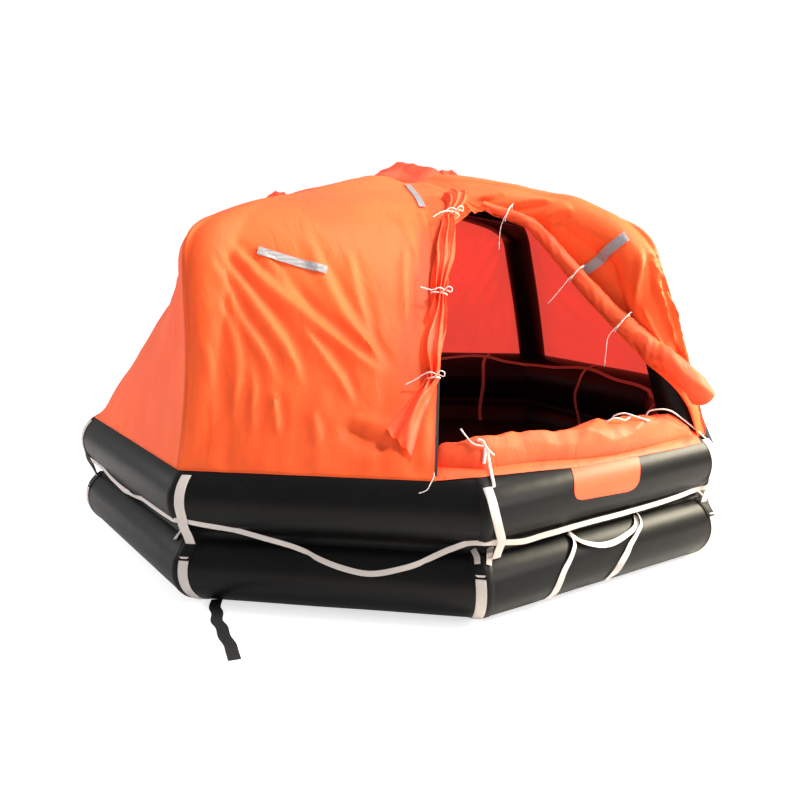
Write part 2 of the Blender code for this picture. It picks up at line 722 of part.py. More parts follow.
def add_ladder(end, k):
    """The boarding ladder: two webbing straps down the lower tube, joined by a step."""
    left = [(-0.28, 74), (-0.255, 58), (-0.245, 42), (-0.25, 28), (-0.265, 14), (-0.285, 0),
            (-0.30, -16), (-0.315, -32), (-0.33, -50)]
    right = [(0.165, 74), (0.20, 58), (0.21, 42), (0.185, 28), (0.155, 14), (0.12, 0),
             (0.085, -14), (0.04, -29), (0.0, -44)]
    step = [(-0.265, 50), (-0.18, 37), (-0.09, 30), (0.02, 27), (0.11, 28), (0.205, 34)]
    tube_strap(end + "_ladder_strap_left", k, left, SEAT, SEAT + WEBBING)
    tube_strap(end + "_ladder_strap_right", k, right, SEAT, SEAT + WEBBING)
    tube_step(end + "_ladder_step", k, step, STEP_SEAT, STEP_SEAT + WEBBING)


def add_patch(end, k):
    """The blank orange patch that marks the boarding place on the upper tube."""
    angles = skin_angles(46.0, -12.0)
    walls = [np.array([[on_tube(k, along, angle, proud, UPPER_Z) for along in (-0.25, -0.03, 0.19)]
                       for angle in angles]) for proud in (SEAT + 0.002, SEAT)]
    shell(end + "_boarding_patch", walls[0], walls[1], orange_cloth())


CYLINDER_R = 0.070
CYLINDER_HALF = 0.330
CYLINDER_Y = 0.62
NECK = 0.020
VALVE_HALVES = (0.028, 0.024, 0.030)


def add_gas_cylinder():
    """The inflation cylinder, strapped up under the floor beside its middle."""
    sides = 24
    flat_reach = CYLINDER_R * math.cos(math.pi / sides)
    middle = np.array([0.0, CYLINDER_Y, FLOOR_LOW - SEAT - flat_reach])
    stations = ((-CYLINDER_HALF, 0.045), (-CYLINDER_HALF + 0.03, 0.062),
                (-CYLINDER_HALF + 0.07, CYLINDER_R), (CYLINDER_HALF - 0.07, CYLINDER_R),
                (CYLINDER_HALF - 0.03, 0.058), (CYLINDER_HALF, 0.030), (CYLINDER_HALF + NECK, 0.022))
    points = []
    for along, radius in stations:
        for step in range(sides):
            angle = (step + 0.5) * 2 * math.pi / sides
            points.append(middle + np.array([along, radius * math.cos(angle), radius * math.sin(angle)]))
    faces = [tuple(range(sides)), tuple(range((len(stations) - 1) * sides, len(stations) * sides))]
    for ring in range(len(stations) - 1):
        for step in range(sides):
            after = (step + 1) % sides
            here = ring * sides
            faces.append((here + step, here + after, here + sides + after, here + sides + step))
    solid("gas_cylinder", points, faces, painted_steel())
    valve_x = CYLINDER_HALF + NECK + SEAT + VALVE_HALVES[0]
    block("cylinder_valve", middle + np.array([valve_x, 0.0, 0.0]), VALVE_HALVES, brass())


def block(name, centre, halves, finish):
    points = [centre + np.array([x, y, z]) * np.array(halves)
              for z in (-1, 1) for y in (-1, 1) for x in (-1, 1)]
    faces = [(0, 1, 3, 2), (4, 5, 7, 6), (0, 1, 5, 4), (2, 3, 7, 6), (0, 2, 6, 4), (1, 3, 7, 5)]
    body = solid(name, points, faces, finish)
    round_edges = body.modifiers.new("round_edges", "BEVEL")
    round_edges.width = 0.004
    round_edges.segments = 2
    return body


def add_water_pockets():
    """The four stabilising pockets, folded flat against the floor's underside."""
    half_long, half_wide, half_thick = 0.27, 0.17, 0.016
    for number, k in enumerate(LEG_CORNERS):
        centre = level(0.98, k * TURN, FLOOR_LOW - SEAT - half_thick)
        tangent, outward = direction((k + 2) * TURN), direction(k * TURN)
        points = []
        for drop, share in ((half_thick, 0.92), (0.004, 1.0), (-0.008, 0.98), (-half_thick, 0.86)):
            for step in range(16):
                angle = 2 * math.pi * (step + 0.5) / 16
                across = math.copysign(abs(math.cos(angle)) ** 0.45, math.cos(angle))
                over = math.copysign(abs(math.sin(angle)) ** 0.45, math.sin(angle))
                points.append(centre + tangent * half_long * share * across
                              + outward * half_wide * share * over + np.array([0, 0, drop]))
        faces = [tuple(range(16)), tuple(range(48, 64))]
        for ring in range(3):
            for step in range(16):
                after = (step + 1) % 16
                here = ring * 16
                faces.append((here + step, here + after, here + 16 + after, here + 16 + step))
        solid("water_pocket_" + str(number + 1), points, faces, black_rubber())


LOOSE_HALF = 0.029
LOOSE_THICK = 0.003
LOOSE_EXIT = -0.607           # along the side left of the front corner, from that side's middle
LOOSE_ROUTE = ((-1.235, -1.45), (-1.222, -1.53), (-1.225, -1.61), (-1.20, -1.70),
               (-1.19, -1.79), (-1.165, -1.88), (-1.155, -1.96), (-1.145, -2.035))


def add_loose_strap():
    """The black strap that comes out from under the lower tube and lies on the ground."""
    turn = math.radians(-90.0 + 1.5 * 360.0 / TUBE_SIDES)
    exit_z = LOWER_Z + TUBE_R * math.sin(turn) - SEAT - LOOSE_THICK
    exit_edges = [on_side(-1, LOOSE_EXIT + side * LOOSE_HALF, AXIS_APOTHEM + TUBE_R * math.cos(turn), exit_z)
                  for side in (-1, 1)]
    centre = np.array([(x, y, SEAM) for x, y in LOOSE_ROUTE])
    along = np.gradient(centre, axis=0)
    across = np.stack([along[:, 1], -along[:, 0], np.zeros(len(centre))], axis=-1)
    across /= np.linalg.norm(across, axis=-1, keepdims=True)
    edges = np.stack([centre + across * LOOSE_HALF, centre - across * LOOSE_HALF], axis=1)
    edges = np.concatenate([np.array([exit_edges]), edges])
    shell("loose_strap", edges + np.array([0, 0, LOOSE_THICK]), edges, black_webbing())


def add_webbing():
    places = ("front", "right_front", "right", "right_rear", "rear", "left_rear", "left", "left_front")
    for k, place in enumerate(places):
        add_corner_strap("corner_strap_" + place, k)
    add_grab_line()
    add_lifeline()
    for end, k in (("front", 0), ("rear", 4)):
        add_ladder(end, k)
        add_patch(end, k)


def main():
    for old in list(bpy.data.objects):
        bpy.data.objects.remove(old, do_unlink=True)
    add_tubes()
    add_floor()
    add_arches()
    add_canopy()
    add_sleeve()
    add_light_pocket()
    add_webbing()
    add_gas_cylinder()
    add_water_pockets()
    add_loose_strap()


main()
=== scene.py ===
# Inflatable life raft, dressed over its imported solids: rubber tubes, draped canopy, webbing.
# Metres, +Z up, the entrance in front towards -Y. Azimuth 0 is -Y and turns towards +X;
# corner k of the octagon is at 45 k degrees and side k runs from corner k to corner k + 1.

import math

import bmesh
import bpy
import numpy as np
from mathutils import Matrix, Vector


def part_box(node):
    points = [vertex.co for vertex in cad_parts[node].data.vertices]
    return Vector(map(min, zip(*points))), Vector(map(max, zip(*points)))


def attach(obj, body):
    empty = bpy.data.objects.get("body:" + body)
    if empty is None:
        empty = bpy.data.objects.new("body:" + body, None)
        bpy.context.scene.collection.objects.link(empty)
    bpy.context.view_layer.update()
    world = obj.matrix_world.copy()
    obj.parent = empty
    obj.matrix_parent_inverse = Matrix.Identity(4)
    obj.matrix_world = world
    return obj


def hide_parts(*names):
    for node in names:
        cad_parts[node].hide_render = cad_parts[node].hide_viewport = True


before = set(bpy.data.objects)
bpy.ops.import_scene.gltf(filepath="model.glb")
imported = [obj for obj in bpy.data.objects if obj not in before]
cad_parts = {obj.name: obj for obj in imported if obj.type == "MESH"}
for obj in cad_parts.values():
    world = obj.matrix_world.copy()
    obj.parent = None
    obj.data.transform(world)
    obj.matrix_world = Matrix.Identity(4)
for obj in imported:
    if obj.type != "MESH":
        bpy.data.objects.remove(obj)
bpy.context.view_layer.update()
print("frame loaded with", len(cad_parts), "solids")

raft = {
    "axisApothem": 1.68,        # middle of the raft to a tube's axis
    "tubeRadius": 0.17913,
    "lowerZ": 0.17913,
    "upperZ": 0.53769,
    "footRadius": 0.1803,       # a tube's axis to the canopy's glued foot
    "halfTurn": math.pi / 8,
    "edgeAngle": 54.0,          # canopy's foot on the upper tube, degrees above level
    "apexZ": 2.070,
    "shoulderRadius": 1.655,
    "shoulderZ": 1.800,
    "archSkin": 0.0985,         # an arch's radius
    "archClear": 0.121,
}
turn = 2 * raft["halfTurn"]
edgeApothem = raft["axisApothem"] + raft["footRadius"] * math.cos(math.radians(raft["edgeAngle"]))
edgeZ = raft["upperZ"] + raft["footRadius"] * math.sin(math.radians(raft["edgeAngle"]))
legs = {7: "front_left", 1: "front_right", 3: "rear_right", 5: "rear_left"}    # the corners with an arch's leg
upward = np.array([0.0, 0.0, 1.0])
turnedBack = np.array([-1.0, -1.0, 1.0])
ends = (("front", np.ones(3)), ("rear", turnedBack))    # the rear is the front turned half round


# ---- small geometry helpers, all on whole arrays

# Level unit vector at an azimuth: (sin a, -cos a, 0).
def direction(azimuth):
    azimuth = np.asarray(azimuth, float)
    return np.stack([np.sin(azimuth), -np.cos(azimuth), 0 * azimuth], -1)


# radius x direction, raised to height.
def level(radius, azimuth, height):
    radius, azimuth, height = np.broadcast_arrays(radius, azimuth, height)
    return radius[..., None] * direction(azimuth) + height[..., None] * upward


def corner(apothem, height, k):
    return level(np.asarray(apothem, float) / math.cos(raft["halfTurn"]), k * turn, height)


# The level way along side k.
def sideWay(k):
    azimuth = (k + 0.5) * turn
    return np.array([math.cos(azimuth), math.sin(azimuth), 0.0])


facing = direction((np.arange(8) + 0.5) * turn)    # outwards, for each side


# Beside side k: apothem outwards, along its tangent, height up.
def onSide(k, along, apothem, height):
    return level(apothem, (k + 0.5) * turn, height) + np.asarray(along, float)[..., None] * sideWay(k)


# Half the length of a side at an apothem.
def sideHalf(apothem):
    return apothem * math.tan(raft["halfTurn"])


# Beside corner k: place is measured along from its mitre, and negative on the side before it.
def besideCorner(k, place, apothem, height):
    half = sideHalf(apothem)
    return np.where((place <= 0)[..., None], onSide(k - 1, half + place, apothem, height),
                    onSide(k, place - half, apothem, height))


# Apothem and height in a tube's section: the axis plus reach, at an angle above level.
def section(angle, reach, centreZ):
    return raft["axisApothem"] + reach * np.cos(angle), centreZ + reach * np.sin(angle)


# On a tube's skin, or proud of it.
def onTube(k, along, angle, proud, centreZ):
    return onSide(k, along, *section(angle, raft["tubeRadius"] + np.asarray(proud, float), centreZ))


def unit(vectors):
    vectors = np.asarray(vectors, float)
    return vectors / np.maximum(np.linalg.norm(vectors, axis=-1, keepdims=True), 1e-12)


def lerp(start, end, share):
    return start + (end - start) * share


# Angles round a circle.
def circle(count):
    return np.arange(count) * 2 * math.pi / count


# Values evened out by a running mean over half on either side, the ends held.
def evened(values, half):
    return np.convolve(np.pad(values, half, mode="edge"), np.ones(2 * half + 1) / (2 * half + 1), "valid")


def smoothstep(low, high, value):
    share = np.clip((value - low) / (high - low), 0, 1)
    return share * share * (3 - 2 * share)


# Distances travelled along a line of points, from 0.
def travelled(points):
    return np.concatenate([[0.0], np.cumsum(np.linalg.norm(np.diff(points, axis=0), axis=1))])


# Straight between stations at their shares, rounded by averaging over a window of +-soft metres.
def roundedPath(stations, shares, where, soft):
    stations = np.asarray(stations, float)
    length = travelled(stations)
    at = np.interp(where, shares, length)
    room = np.minimum(np.minimum(at - length[0], length[-1] - at), soft)
    offsets = np.linspace(-1, 1, 9)
    asked = at[:, None] + room[:, None] * offsets
    found = np.stack([np.interp(asked, length, stations[:, axis]) for axis in range(3)], -1)
    return found.mean(axis=1)


# A smooth curve through points (cubic with averaged tangents), at count even shares.
def curveThrough(points, count):
    points = np.asarray(points, float)
    length = travelled(points)
    tangent = np.gradient(points, length, axis=0)
    where = np.linspace(0, length[-1], count)
    i = np.clip(np.searchsorted(length, where, side="right") - 1, 0, len(points) - 2)
    span = (length[i + 1] - length[i])[:, None]
    t = ((where - length[i]) / span[:, 0])[:, None]
    a, b, ta, tb = points[i], points[i + 1], tangent[i] * span, tangent[i + 1] * span
    return ((2 * t**3 - 3 * t**2 + 1) * a + (t**3 - 2 * t**2 + t) * ta
            + (3 * t**2 - 2 * t**3) * b + (t**3 - t**2) * tb)


# A closed curve through a ring of points, from the first round to it again.
def ringThrough(points, count):
    curve = curveThrough(np.concatenate([points[-3:], points, points[:4]]), count)
    number, far = np.arange(count), 9.0
    first, last = (np.argmin(np.linalg.norm(curve - points[0], axis=1) + far * (number * side > count / 2 * side))
                   for side in (1, -1))
    return curve[first:last]


# The way along a closed curve.
def ringWay(curve):
    return unit(np.roll(curve, -1, axis=0) - np.roll(curve, 1, axis=0))


# Quads of a rows x columns grid, with the row and column numbers of their corners.
def gridQuads(rows, columns, loopRows=False, loopColumns=False):
    i, j = np.meshgrid(np.arange(rows if loopRows else rows - 1),
                       np.arange(columns if loopColumns else columns - 1), indexing="ij")
    i, j = i.ravel(), j.ravel()
    cornerRows, cornerColumns = np.stack([i, i, i + 1, i + 1], -1), np.stack([j, j + 1, j + 1, j], -1)
    return (cornerRows % rows) * columns + cornerColumns % columns, cornerRows, cornerColumns


# A mesh riding the root body, with its finish and the solids that it stands for.
def addPiece(name, points, faces, finish, uv=None, sharp=40.0, outwards=True, stands=()):
    mesh = bpy.data.meshes.new(name)
    mesh.from_pydata(np.asarray(points).tolist(), [], [list(face) for face in faces])
    if uv is not None:
        layer = mesh.uv_layers.new(name="UVMap")
        layer.data.foreach_set("uv", np.asarray(uv, np.float32).ravel())
    if outwards:
        shape = bmesh.new()
        shape.from_mesh(mesh)
        bmesh.ops.recalc_face_normals(shape, faces=shape.faces)
        shape.to_mesh(mesh)
        shape.free()
    mesh.shade_smooth()
    mesh.set_sharp_from_angle(angle=math.radians(sharp))
    mesh.materials.append(finishes[finish])
    piece = bpy.data.objects.new(name, mesh)
    bpy.context.scene.collection.objects.link(piece)
    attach(piece, "root")
    if stands:
        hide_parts(*stands)
    return piece


# A closed skin through rings of points (stations x sides x 3), its ends closed by fans.
def sweep(name, rings, finish, sharp=40.0, loop=False, across=None, **more):
    stations, sides = rings.shape[:2]
    quads, rows, columns = gridQuads(stations, sides, loop, True)
    along = travelled(rings.mean(axis=1))
    along = np.append(along, along[-1] + np.linalg.norm(rings[0].mean(axis=0) - rings[-1].mean(axis=0)))
    if across is None:
        across = travelled(np.concatenate([rings[0], rings[0][:1]]))
    uv = np.stack([along[rows], across[columns]], -1).reshape(-1, 2)
    points, faces = rings.reshape(-1, 3), quads.tolist()
    if not loop:
        points = np.concatenate([points, rings[[0, -1]].mean(axis=1)])
        for ring, pole in ((0, stations * sides), (stations - 1, stations * sides + 1)):
            here = ring * sides + np.arange(sides)
            faces += np.stack([here, np.roll(here, -1), np.full(sides, pole)], -1).tolist()
            uv = np.concatenate([uv, np.tile([along[ring], across.mean()], (3 * sides, 1))])
    return addPiece(name, points, faces, finish, uv, sharp, **more)


# A closed wall between two grids of the same shape, joined along their borders.
def shell(name, outer, inner, finish, loop=False, sharp=40.0, **more):
    rows, columns = outer.shape[:2]
    front, cornerRows, cornerColumns = gridQuads(rows, columns, loop)
    under = rows * columns
    down, over = travelled(outer[:, columns // 2]), travelled(outer[rows // 2])
    down = np.append(down, down[-1] + down[-1] / max(rows - 1, 1))
    place = np.stack([down[cornerRows], over[cornerColumns]], -1)
    faces, uv = [front, front[:, ::-1] + under], [place.reshape(-1, 2), place[:, ::-1].reshape(-1, 2)]

    def rim(here, after, first, second):
        faces.append(np.stack([here, after, under + after, under + here], -1))
        uv.append(np.stack([first, second, second, first], 1).reshape(-1, 2))

    turns, spans = np.arange(rows if loop else rows - 1), np.arange(columns - 1)
    for column in (0, columns - 1):
        spots = np.stack([down, np.full(len(down), over[column])], -1)
        rim(turns * columns + column, (turns + 1) % rows * columns + column, spots[turns], spots[turns + 1])
    for row in () if loop else (0, rows - 1):
        spots = np.stack([np.full(columns, down[row]), over], -1)
        rim(row * columns + spans, row * columns + spans + 1, spots[:-1], spots[1:])
    points = np.concatenate([outer.reshape(-1, 3), inner.reshape(-1, 3)])
    return addPiece(name, points, np.concatenate(faces).tolist(), finish, np.concatenate(uv), sharp, **more)


# A closed slab between two discs of rings, top and under, with their two middle points.
def slab(name, top, under, middles, finish, sharp, **more):
    rings, around = top.shape[:2]
    quads, count, first = gridQuads(rings, around, False, True)[0], rings * around, np.arange(around)
    last = count - around + first
    rim = np.stack([last, np.roll(last, -1), np.roll(last, -1) + count, last + count], -1)
    faces = [*quads.tolist(), *(quads[:, ::-1] + count).tolist(), *rim.tolist()]
    for pole, low in ((2 * count, 0), (2 * count + 1, count)):
        faces += np.stack([first + low, np.roll(first, -1) + low, np.full(around, pole)], -1).tolist()
    points = np.concatenate([top.reshape(-1, 3), under.reshape(-1, 3), middles])
    return addPiece(name, points, faces, finish, sharp=sharp, **more)


# Places at (a, b, c) from a start, along three ways.
def beside(start, ways, table):
    return start + np.array(table) @ np.stack(ways)


# Middle of a solid's box, and half its size each way.
def middleOf(name):
    low, high = (np.array(value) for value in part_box(name))
    return (low + high) / 2, (high - low) / 2


# Unit spokes of circles in the planes of side and up.
def spokesOf(side, up, count):
    angle = circle(count)[:, None]
    return np.cos(angle) * side[:, None] + np.sin(angle) * up[:, None]


# Flat webbing: a thin rounded section carried along a centre line, across giving its width's way.
def webbing(name, centre, across, width, thick, finish, loop=False, way=None, **more):
    if way is None:
        way = ringWay(centre) if loop else unit(np.gradient(centre, axis=0))
    across = np.broadcast_to(np.asarray(across, float), centre.shape)
    across = unit(across - way * np.sum(across * way, axis=-1, keepdims=True))
    up = np.cross(way, across)
    flat, crown = (0.48, 0.60) if loop else (0.485, 0.55)
    half = np.array([-0.5, -flat, 0.0, flat, 0.5, flat, 0.0, -flat]) * width
    lift = np.array([0.0, 0.5, crown, 0.5, 0.0, -0.5, -0.5, -0.5]) * thick
    rings = centre[:, None] + across[:, None] * half[:, None] + up[:, None] * lift[:, None]
    return sweep(name, rings, finish, loop=loop, across=np.append(half, half[0]), **more)


# Round cord: circles square to the path, turned with it without twist.
def pipe(name, centre, radius, finish, sides=7, sharp=60.0):
    way = unit(np.gradient(centre, axis=0))
    side = np.empty_like(way)
    start = np.cross(way[0], upward)
    side[0] = unit(start if np.linalg.norm(start) > 0.2 else np.cross(way[0], [1.0, 0, 0]))
    for i in range(1, len(way)):
        side[i] = unit(side[i - 1] - way[i] * side[i - 1].dot(way[i]))
    return sweep(name, centre[:, None] + radius * spokesOf(side, np.cross(way, side), sides), finish, sharp)


# ---- camera, at the photograph's place

cameraSettings = {
    "place": (-1.0872, -5.9402, 1.9403),
    "right": (0.98363814, -0.17898286, -0.02052179),
    "up": (0.05646887, 0.19813864, 0.97854604),
    "lens": 43.09,              # 957.5 px over an 800 px frame and a 36 mm sensor
}


# An object with its axes along given ways.
def placed(name, data, right, up, back, place):
    item = bpy.data.objects.new(name, data)
    rows = np.stack([right, up, back, place], -1).tolist()
    item.matrix_world = Matrix([*rows, [0, 0, 0, 1]])
    bpy.context.scene.collection.objects.link(item)
    return item


def addCamera():
    data = bpy.data.cameras.new("camera")
    data.lens, data.sensor_width = cameraSettings["lens"], 36.0
    data.clip_start, data.clip_end = 0.05, 100.0
    right, up = (unit(cameraSettings[key]) for key in ("right", "up"))
    bpy.context.scene.camera = placed("camera", data, right, up, np.cross(right, up), cameraSettings["place"])


addCamera()


# ---- shader groups shared by the finishes

class Nodes:
    def __init__(self, tree):
        self.tree = tree

    def add(self, kind, **values):
        node = self.tree.nodes.new("ShaderNode" + kind)
        for key, value in values.items():
            setattr(node, key, value)
        return node

    # Numbers and other nodes' outputs go into a node's sockets.
    def feed(self, node, values):
        for key, value in values.items():
            if isinstance(value, bpy.types.NodeSocket):
                self.tree.links.new(value, node.inputs[key])
            else:
                node.inputs[key].default_value = value
        return node

    def math(self, operation, a, b=0.0):
        return self.feed(self.add("Math", operation=operation), {0: a, 1: b}).outputs[0]

    def noise(self, vector, scale, detail=3.0, rough=0.55, distort=0.0):
        return self.feed(self.add("TexNoise"), {"Vector": vector, "Scale": scale, "Detail": detail,
                                                "Roughness": rough, "Distortion": distort}).outputs["Fac"]

    def stretch(self, vector, scale):
        return self.feed(self.add("Mapping"), {"Vector": vector, "Scale": scale}).outputs[0]

    def between(self, value, low, high, start=0.0, end=1.0):
        node = self.add("MapRange", interpolation_type="SMOOTHSTEP")
        return self.feed(node, dict(enumerate((value, low, high, start, end)))).outputs[0]

    def mixColour(self, share, a, b):
        a, b = (c if isinstance(c, bpy.types.NodeSocket) else (*c, 1) for c in (a, b))
        return self.feed(self.add("Mix", data_type="RGBA"), {"Factor": share, 6: a, 7: b}).outputs[2]

    def bump(self, height, distance):
        return self.feed(self.add("Bump"), {"Height": height, "Distance": distance, "Strength": 1.0}).outputs[0]

    def group(self, name, values):
        return self.feed(self.add("Group", node_tree=groups[name]), values).outputs


def newGroup(name, inputs, outputs):
    tree = bpy.data.node_groups.new(name, "ShaderNodeTree")
    for label, value in inputs.items():
        tree.interface.new_socket(label, in_out="INPUT", socket_type="NodeSocketFloat").default_value = value
    for label in outputs:
        tree.interface.new_socket(label, in_out="OUTPUT", socket_type="NodeSocketFloat")
    return Nodes(tree), tree.nodes.new("NodeGroupInput").outputs, tree.nodes.new("NodeGroupOutput")


# Soft wrinkles and uneven tone of thin cloth.
def clothGroup():
    nodes, given, made = newGroup("cloth_wrinkles", {"Size": 6.0, "Creases": 0.5}, ("Height", "Tone"))
    place = nodes.add("TexCoord").outputs["Object"]
    slow = nodes.noise(nodes.stretch(place, (1.0, 1.0, 0.45)), given["Size"], 3.0, 0.5, 0.9)
    fine = nodes.noise(place, nodes.math("MULTIPLY", given["Size"], 4.3), 4.0, 0.6, 0.5)
    ridge = nodes.math("ABSOLUTE", nodes.math("SUBTRACT", slow, 0.5))
    crease = nodes.math("MULTIPLY", nodes.between(ridge, 0.0, 0.07, 1.0, 0.0), given["Creases"])
    height = nodes.math("ADD", nodes.math("ADD", slow, nodes.math("MULTIPLY", fine, 0.22)), crease)
    nodes.feed(made, {"Height": height, "Tone": nodes.noise(place, 1.7, 4.0, 0.6, 0.3)})
    return nodes.tree


# Threads over and under: two sine bands of the UV map, in threads a metre.
def weaveGroup():
    nodes, given, made = newGroup("weave", {"Threads": 500.0}, ("Height",))
    place = nodes.feed(nodes.add("SeparateXYZ"), {0: nodes.add("UVMap", uv_map="UVMap").outputs[0]}).outputs
    waves = []
    for axis in (0, 1):
        swing = nodes.math("MULTIPLY", nodes.math("MULTIPLY", place[axis], given[0]), math.pi)
        waves.append(nodes.math("ABSOLUTE", nodes.math("SINE", swing)))
    nodes.feed(made, {"Height": nodes.math("MAXIMUM", *waves)})
    return nodes.tree


# Chalky scuffs and handled patches on rubber, with a fine grain.
def scuffGroup():
    nodes, given, made = newGroup("scuffs", {"Amount": 0.5}, ("Mask", "Height"))
    place = nodes.add("TexCoord").outputs["Object"]
    patch = nodes.between(nodes.noise(place, 2.3, 5.0, 0.62, 0.6), 0.48, 0.74)
    streak = nodes.between(nodes.noise(nodes.stretch(place, (2.0, 2.0, 9.0)), 6.0, 5.0, 0.7, 1.2), 0.52, 0.80)
    marks = nodes.math("ADD", nodes.math("MULTIPLY", patch, 0.6), streak)
    grain, swell = nodes.noise(place, 260.0, 2.0, 0.6), nodes.noise(place, 5.0, 3.0, 0.5, 0.4)
    nodes.feed(made, {"Mask": nodes.math("MULTIPLY", marks, given["Amount"]),
                      "Height": nodes.math("ADD", nodes.math("MULTIPLY", grain, 0.03), swell)})
    return nodes.tree


groups = {"cloth": clothGroup(), "weave": weaveGroup(), "scuffs": scuffGroup()}


def newFinish(name):
    made = bpy.data.materials.new(name)
    made.use_nodes = True
    return made, Nodes(made.node_tree), made.node_tree.nodes["Principled BSDF"]


# Coated cloth: two tones by uneven dye, bump from wrinkles and weave; the glow is painted light, an emission
# standing in for light shining through the cloth.
def clothFinish(name, light, dark, rough, size, creases, deep, paintedGlow=None):
    made, nodes, shader = newFinish(name)
    wrinkles = nodes.group("cloth", {"Size": size, "Creases": creases})
    threads = nodes.group("weave", {"Threads": 900.0})[0]
    height = nodes.math("ADD", wrinkles["Height"], nodes.math("MULTIPLY", threads, 0.02))
    nodes.feed(shader, {
        "Base Color": nodes.mixColour(nodes.between(wrinkles["Tone"], 0.35, 0.65), dark, light),
        "Roughness": nodes.between(wrinkles["Tone"], 0.3, 0.7, rough - 0.06, rough + 0.06),
        "Normal": nodes.bump(height, deep), "Sheen Weight": 0.03, "Specular IOR Level": 0.22})
    # painted glow: emission standing in for light shining through the cloth
    if paintedGlow:
        nodes.feed(shader, {"Emission Color": (*paintedGlow[:3], 1), "Emission Strength": paintedGlow[3]})
    return made


# Rubber or metal that pales and roughens where it is scuffed.
def scuffedFinish(name, colour, pale, rough, scuffed, deep, full, rougher, values):
    made, nodes, shader = newFinish(name)
    scuffs = nodes.group("scuffs", {"Amount": scuffed})
    nodes.feed(shader, {
        "Base Color": nodes.mixColour(scuffs["Mask"], colour, pale),
        "Roughness": nodes.between(scuffs["Mask"], 0.0, full, rough, rough + rougher),
        "Normal": nodes.bump(scuffs["Height"], deep), **values})
    return made


def rubberFinish(name, colour, rough, scuffed, deep=0.0025):
    pale = tuple(0.6 * value + 0.014 for value in colour)
    return scuffedFinish(name, colour, pale, rough, scuffed, deep, 0.8, 0.25, {"Specular IOR Level": 0.14})


def metalFinish(name, colour, rough, metallic):
    pale = tuple(0.7 * value + 0.02 for value in colour)
    return scuffedFinish(name, colour, pale, rough, 0.5, 0.0004, 1.0, 0.2, {"Metallic": metallic})


# Webbing: stained patches, threads a metre, and painted shade that darkens the gaps between them.
def webbingFinish(name, colour, dirt, rough=0.8, threads=420.0):
    made, nodes, shader = newFinish(name)
    weave = nodes.group("weave", {"Threads": threads})[0]
    tone = nodes.group("cloth", {"Size": 9.0, "Creases": 0.1})["Tone"]
    plain = nodes.mixColour(nodes.between(tone, 0.45, 0.75), colour, dirt)
    # painted shade: the gaps between the threads are darkened to 0.72 of the colour
    gap = nodes.between(weave, 0.72, 0.98, 0.35, 0.0)
    nodes.feed(shader, {"Base Color": nodes.mixColour(gap, plain, tuple(0.72 * value for value in colour)),
                        "Roughness": rough, "Normal": nodes.bump(weave, 0.0006)})
    return made


# Reflective tape: small cells with paler edges.
def tapeFinish(name):
    made, nodes, shader = newFinish(name)
    place = nodes.stretch(nodes.add("UVMap", uv_map="UVMap").outputs[0], (160.0, 160.0, 160.0))
    cells = nodes.feed(nodes.add("TexVoronoi", feature="DISTANCE_TO_EDGE"),
                       {"Randomness": 0.15, "Scale": 1.0, "Vector": place})
    edge = nodes.between(cells.outputs["Distance"], 0.02, 0.10)
    nodes.feed(shader, {"Base Color": nodes.mixColour(edge, (0.22, 0.22, 0.24), (0.36, 0.35, 0.37)),
                        "Roughness": nodes.between(edge, 0, 1, 0.55, 0.34), "Metallic": 0.25,
                        "Normal": nodes.bump(edge, 0.0003)})
    return made


finishes = {
    # light tone, dark tone, roughness, wrinkle size, creases, bump depth, then for the inside and the pocket a
    # painted glow (colour and strength), emission standing in for light through the cloth
    "canopy": clothFinish("canopy_orange", (0.98, 0.128, 0.027), (0.95, 0.100, 0.019), 0.56, 5.0, 0.08, 0.007),
    "inside": clothFinish("canopy_inside", (0.90, 0.050, 0.028), (0.75, 0.030, 0.020), 0.6, 5.0, 0.3, 0.006,
                          (1.0, 0.085, 0.060, 0.66)),
    "flap": clothFinish("flap_orange", (0.98, 0.120, 0.036), (0.93, 0.080, 0.024), 0.52, 11.0, 0.12, 0.005),
    "sill": clothFinish("sill_orange", (0.98, 0.125, 0.040), (0.96, 0.095, 0.028), 0.5, 9.0, 0.10, 0.005),
    "sleeve": clothFinish("sleeve_red", (0.95, 0.070, 0.026), (0.84, 0.038, 0.020), 0.5, 12.0, 0.16, 0.006),
    "patch": clothFinish("patch_orange", (0.96, 0.100, 0.034), (0.93, 0.088, 0.028), 0.45, 3.0, 0.0, 0.001),
    "pocket": clothFinish("pocket_red", (0.42, 0.012, 0.010), (0.33, 0.008, 0.008), 0.6, 9.0, 0.3, 0.003,
                          (1.0, 0.03, 0.03, 0.12)),
    # colour, roughness, scuffs, bump depth
    "rubber": rubberFinish("black_rubber", (0.0042, 0.0040, 0.0040), 0.36, 0.30),
    "band": rubberFinish("seam_rubber", (0.0055, 0.0052, 0.0052), 0.46, 0.4, 0.001),
    "floor": rubberFinish("floor_rubber", (0.006, 0.0055, 0.006), 0.55, 0.3, 0.004),
    # colour, stains, roughness
    "webbing": webbingFinish("pale_webbing", (0.70, 0.63, 0.60), (0.50, 0.42, 0.39)),
    "insideWebbing": webbingFinish("inside_webbing", (0.34, 0.19, 0.17), (0.25, 0.13, 0.11)),
    "thread": webbingFinish("white_tape", (0.92, 0.84, 0.80), (0.85, 0.70, 0.64), threads=900.0),
    "blackWebbing": webbingFinish("black_webbing", (0.012, 0.012, 0.013), (0.02, 0.019, 0.018), 0.7),
    "tape": tapeFinish("reflective_tape"),
    "steel": metalFinish("painted_steel", (0.50, 0.035, 0.028), 0.32, 0.0),
    "brass": metalFinish("brass", (0.72, 0.52, 0.22), 0.30, 1.0),
}
print("finishes made")
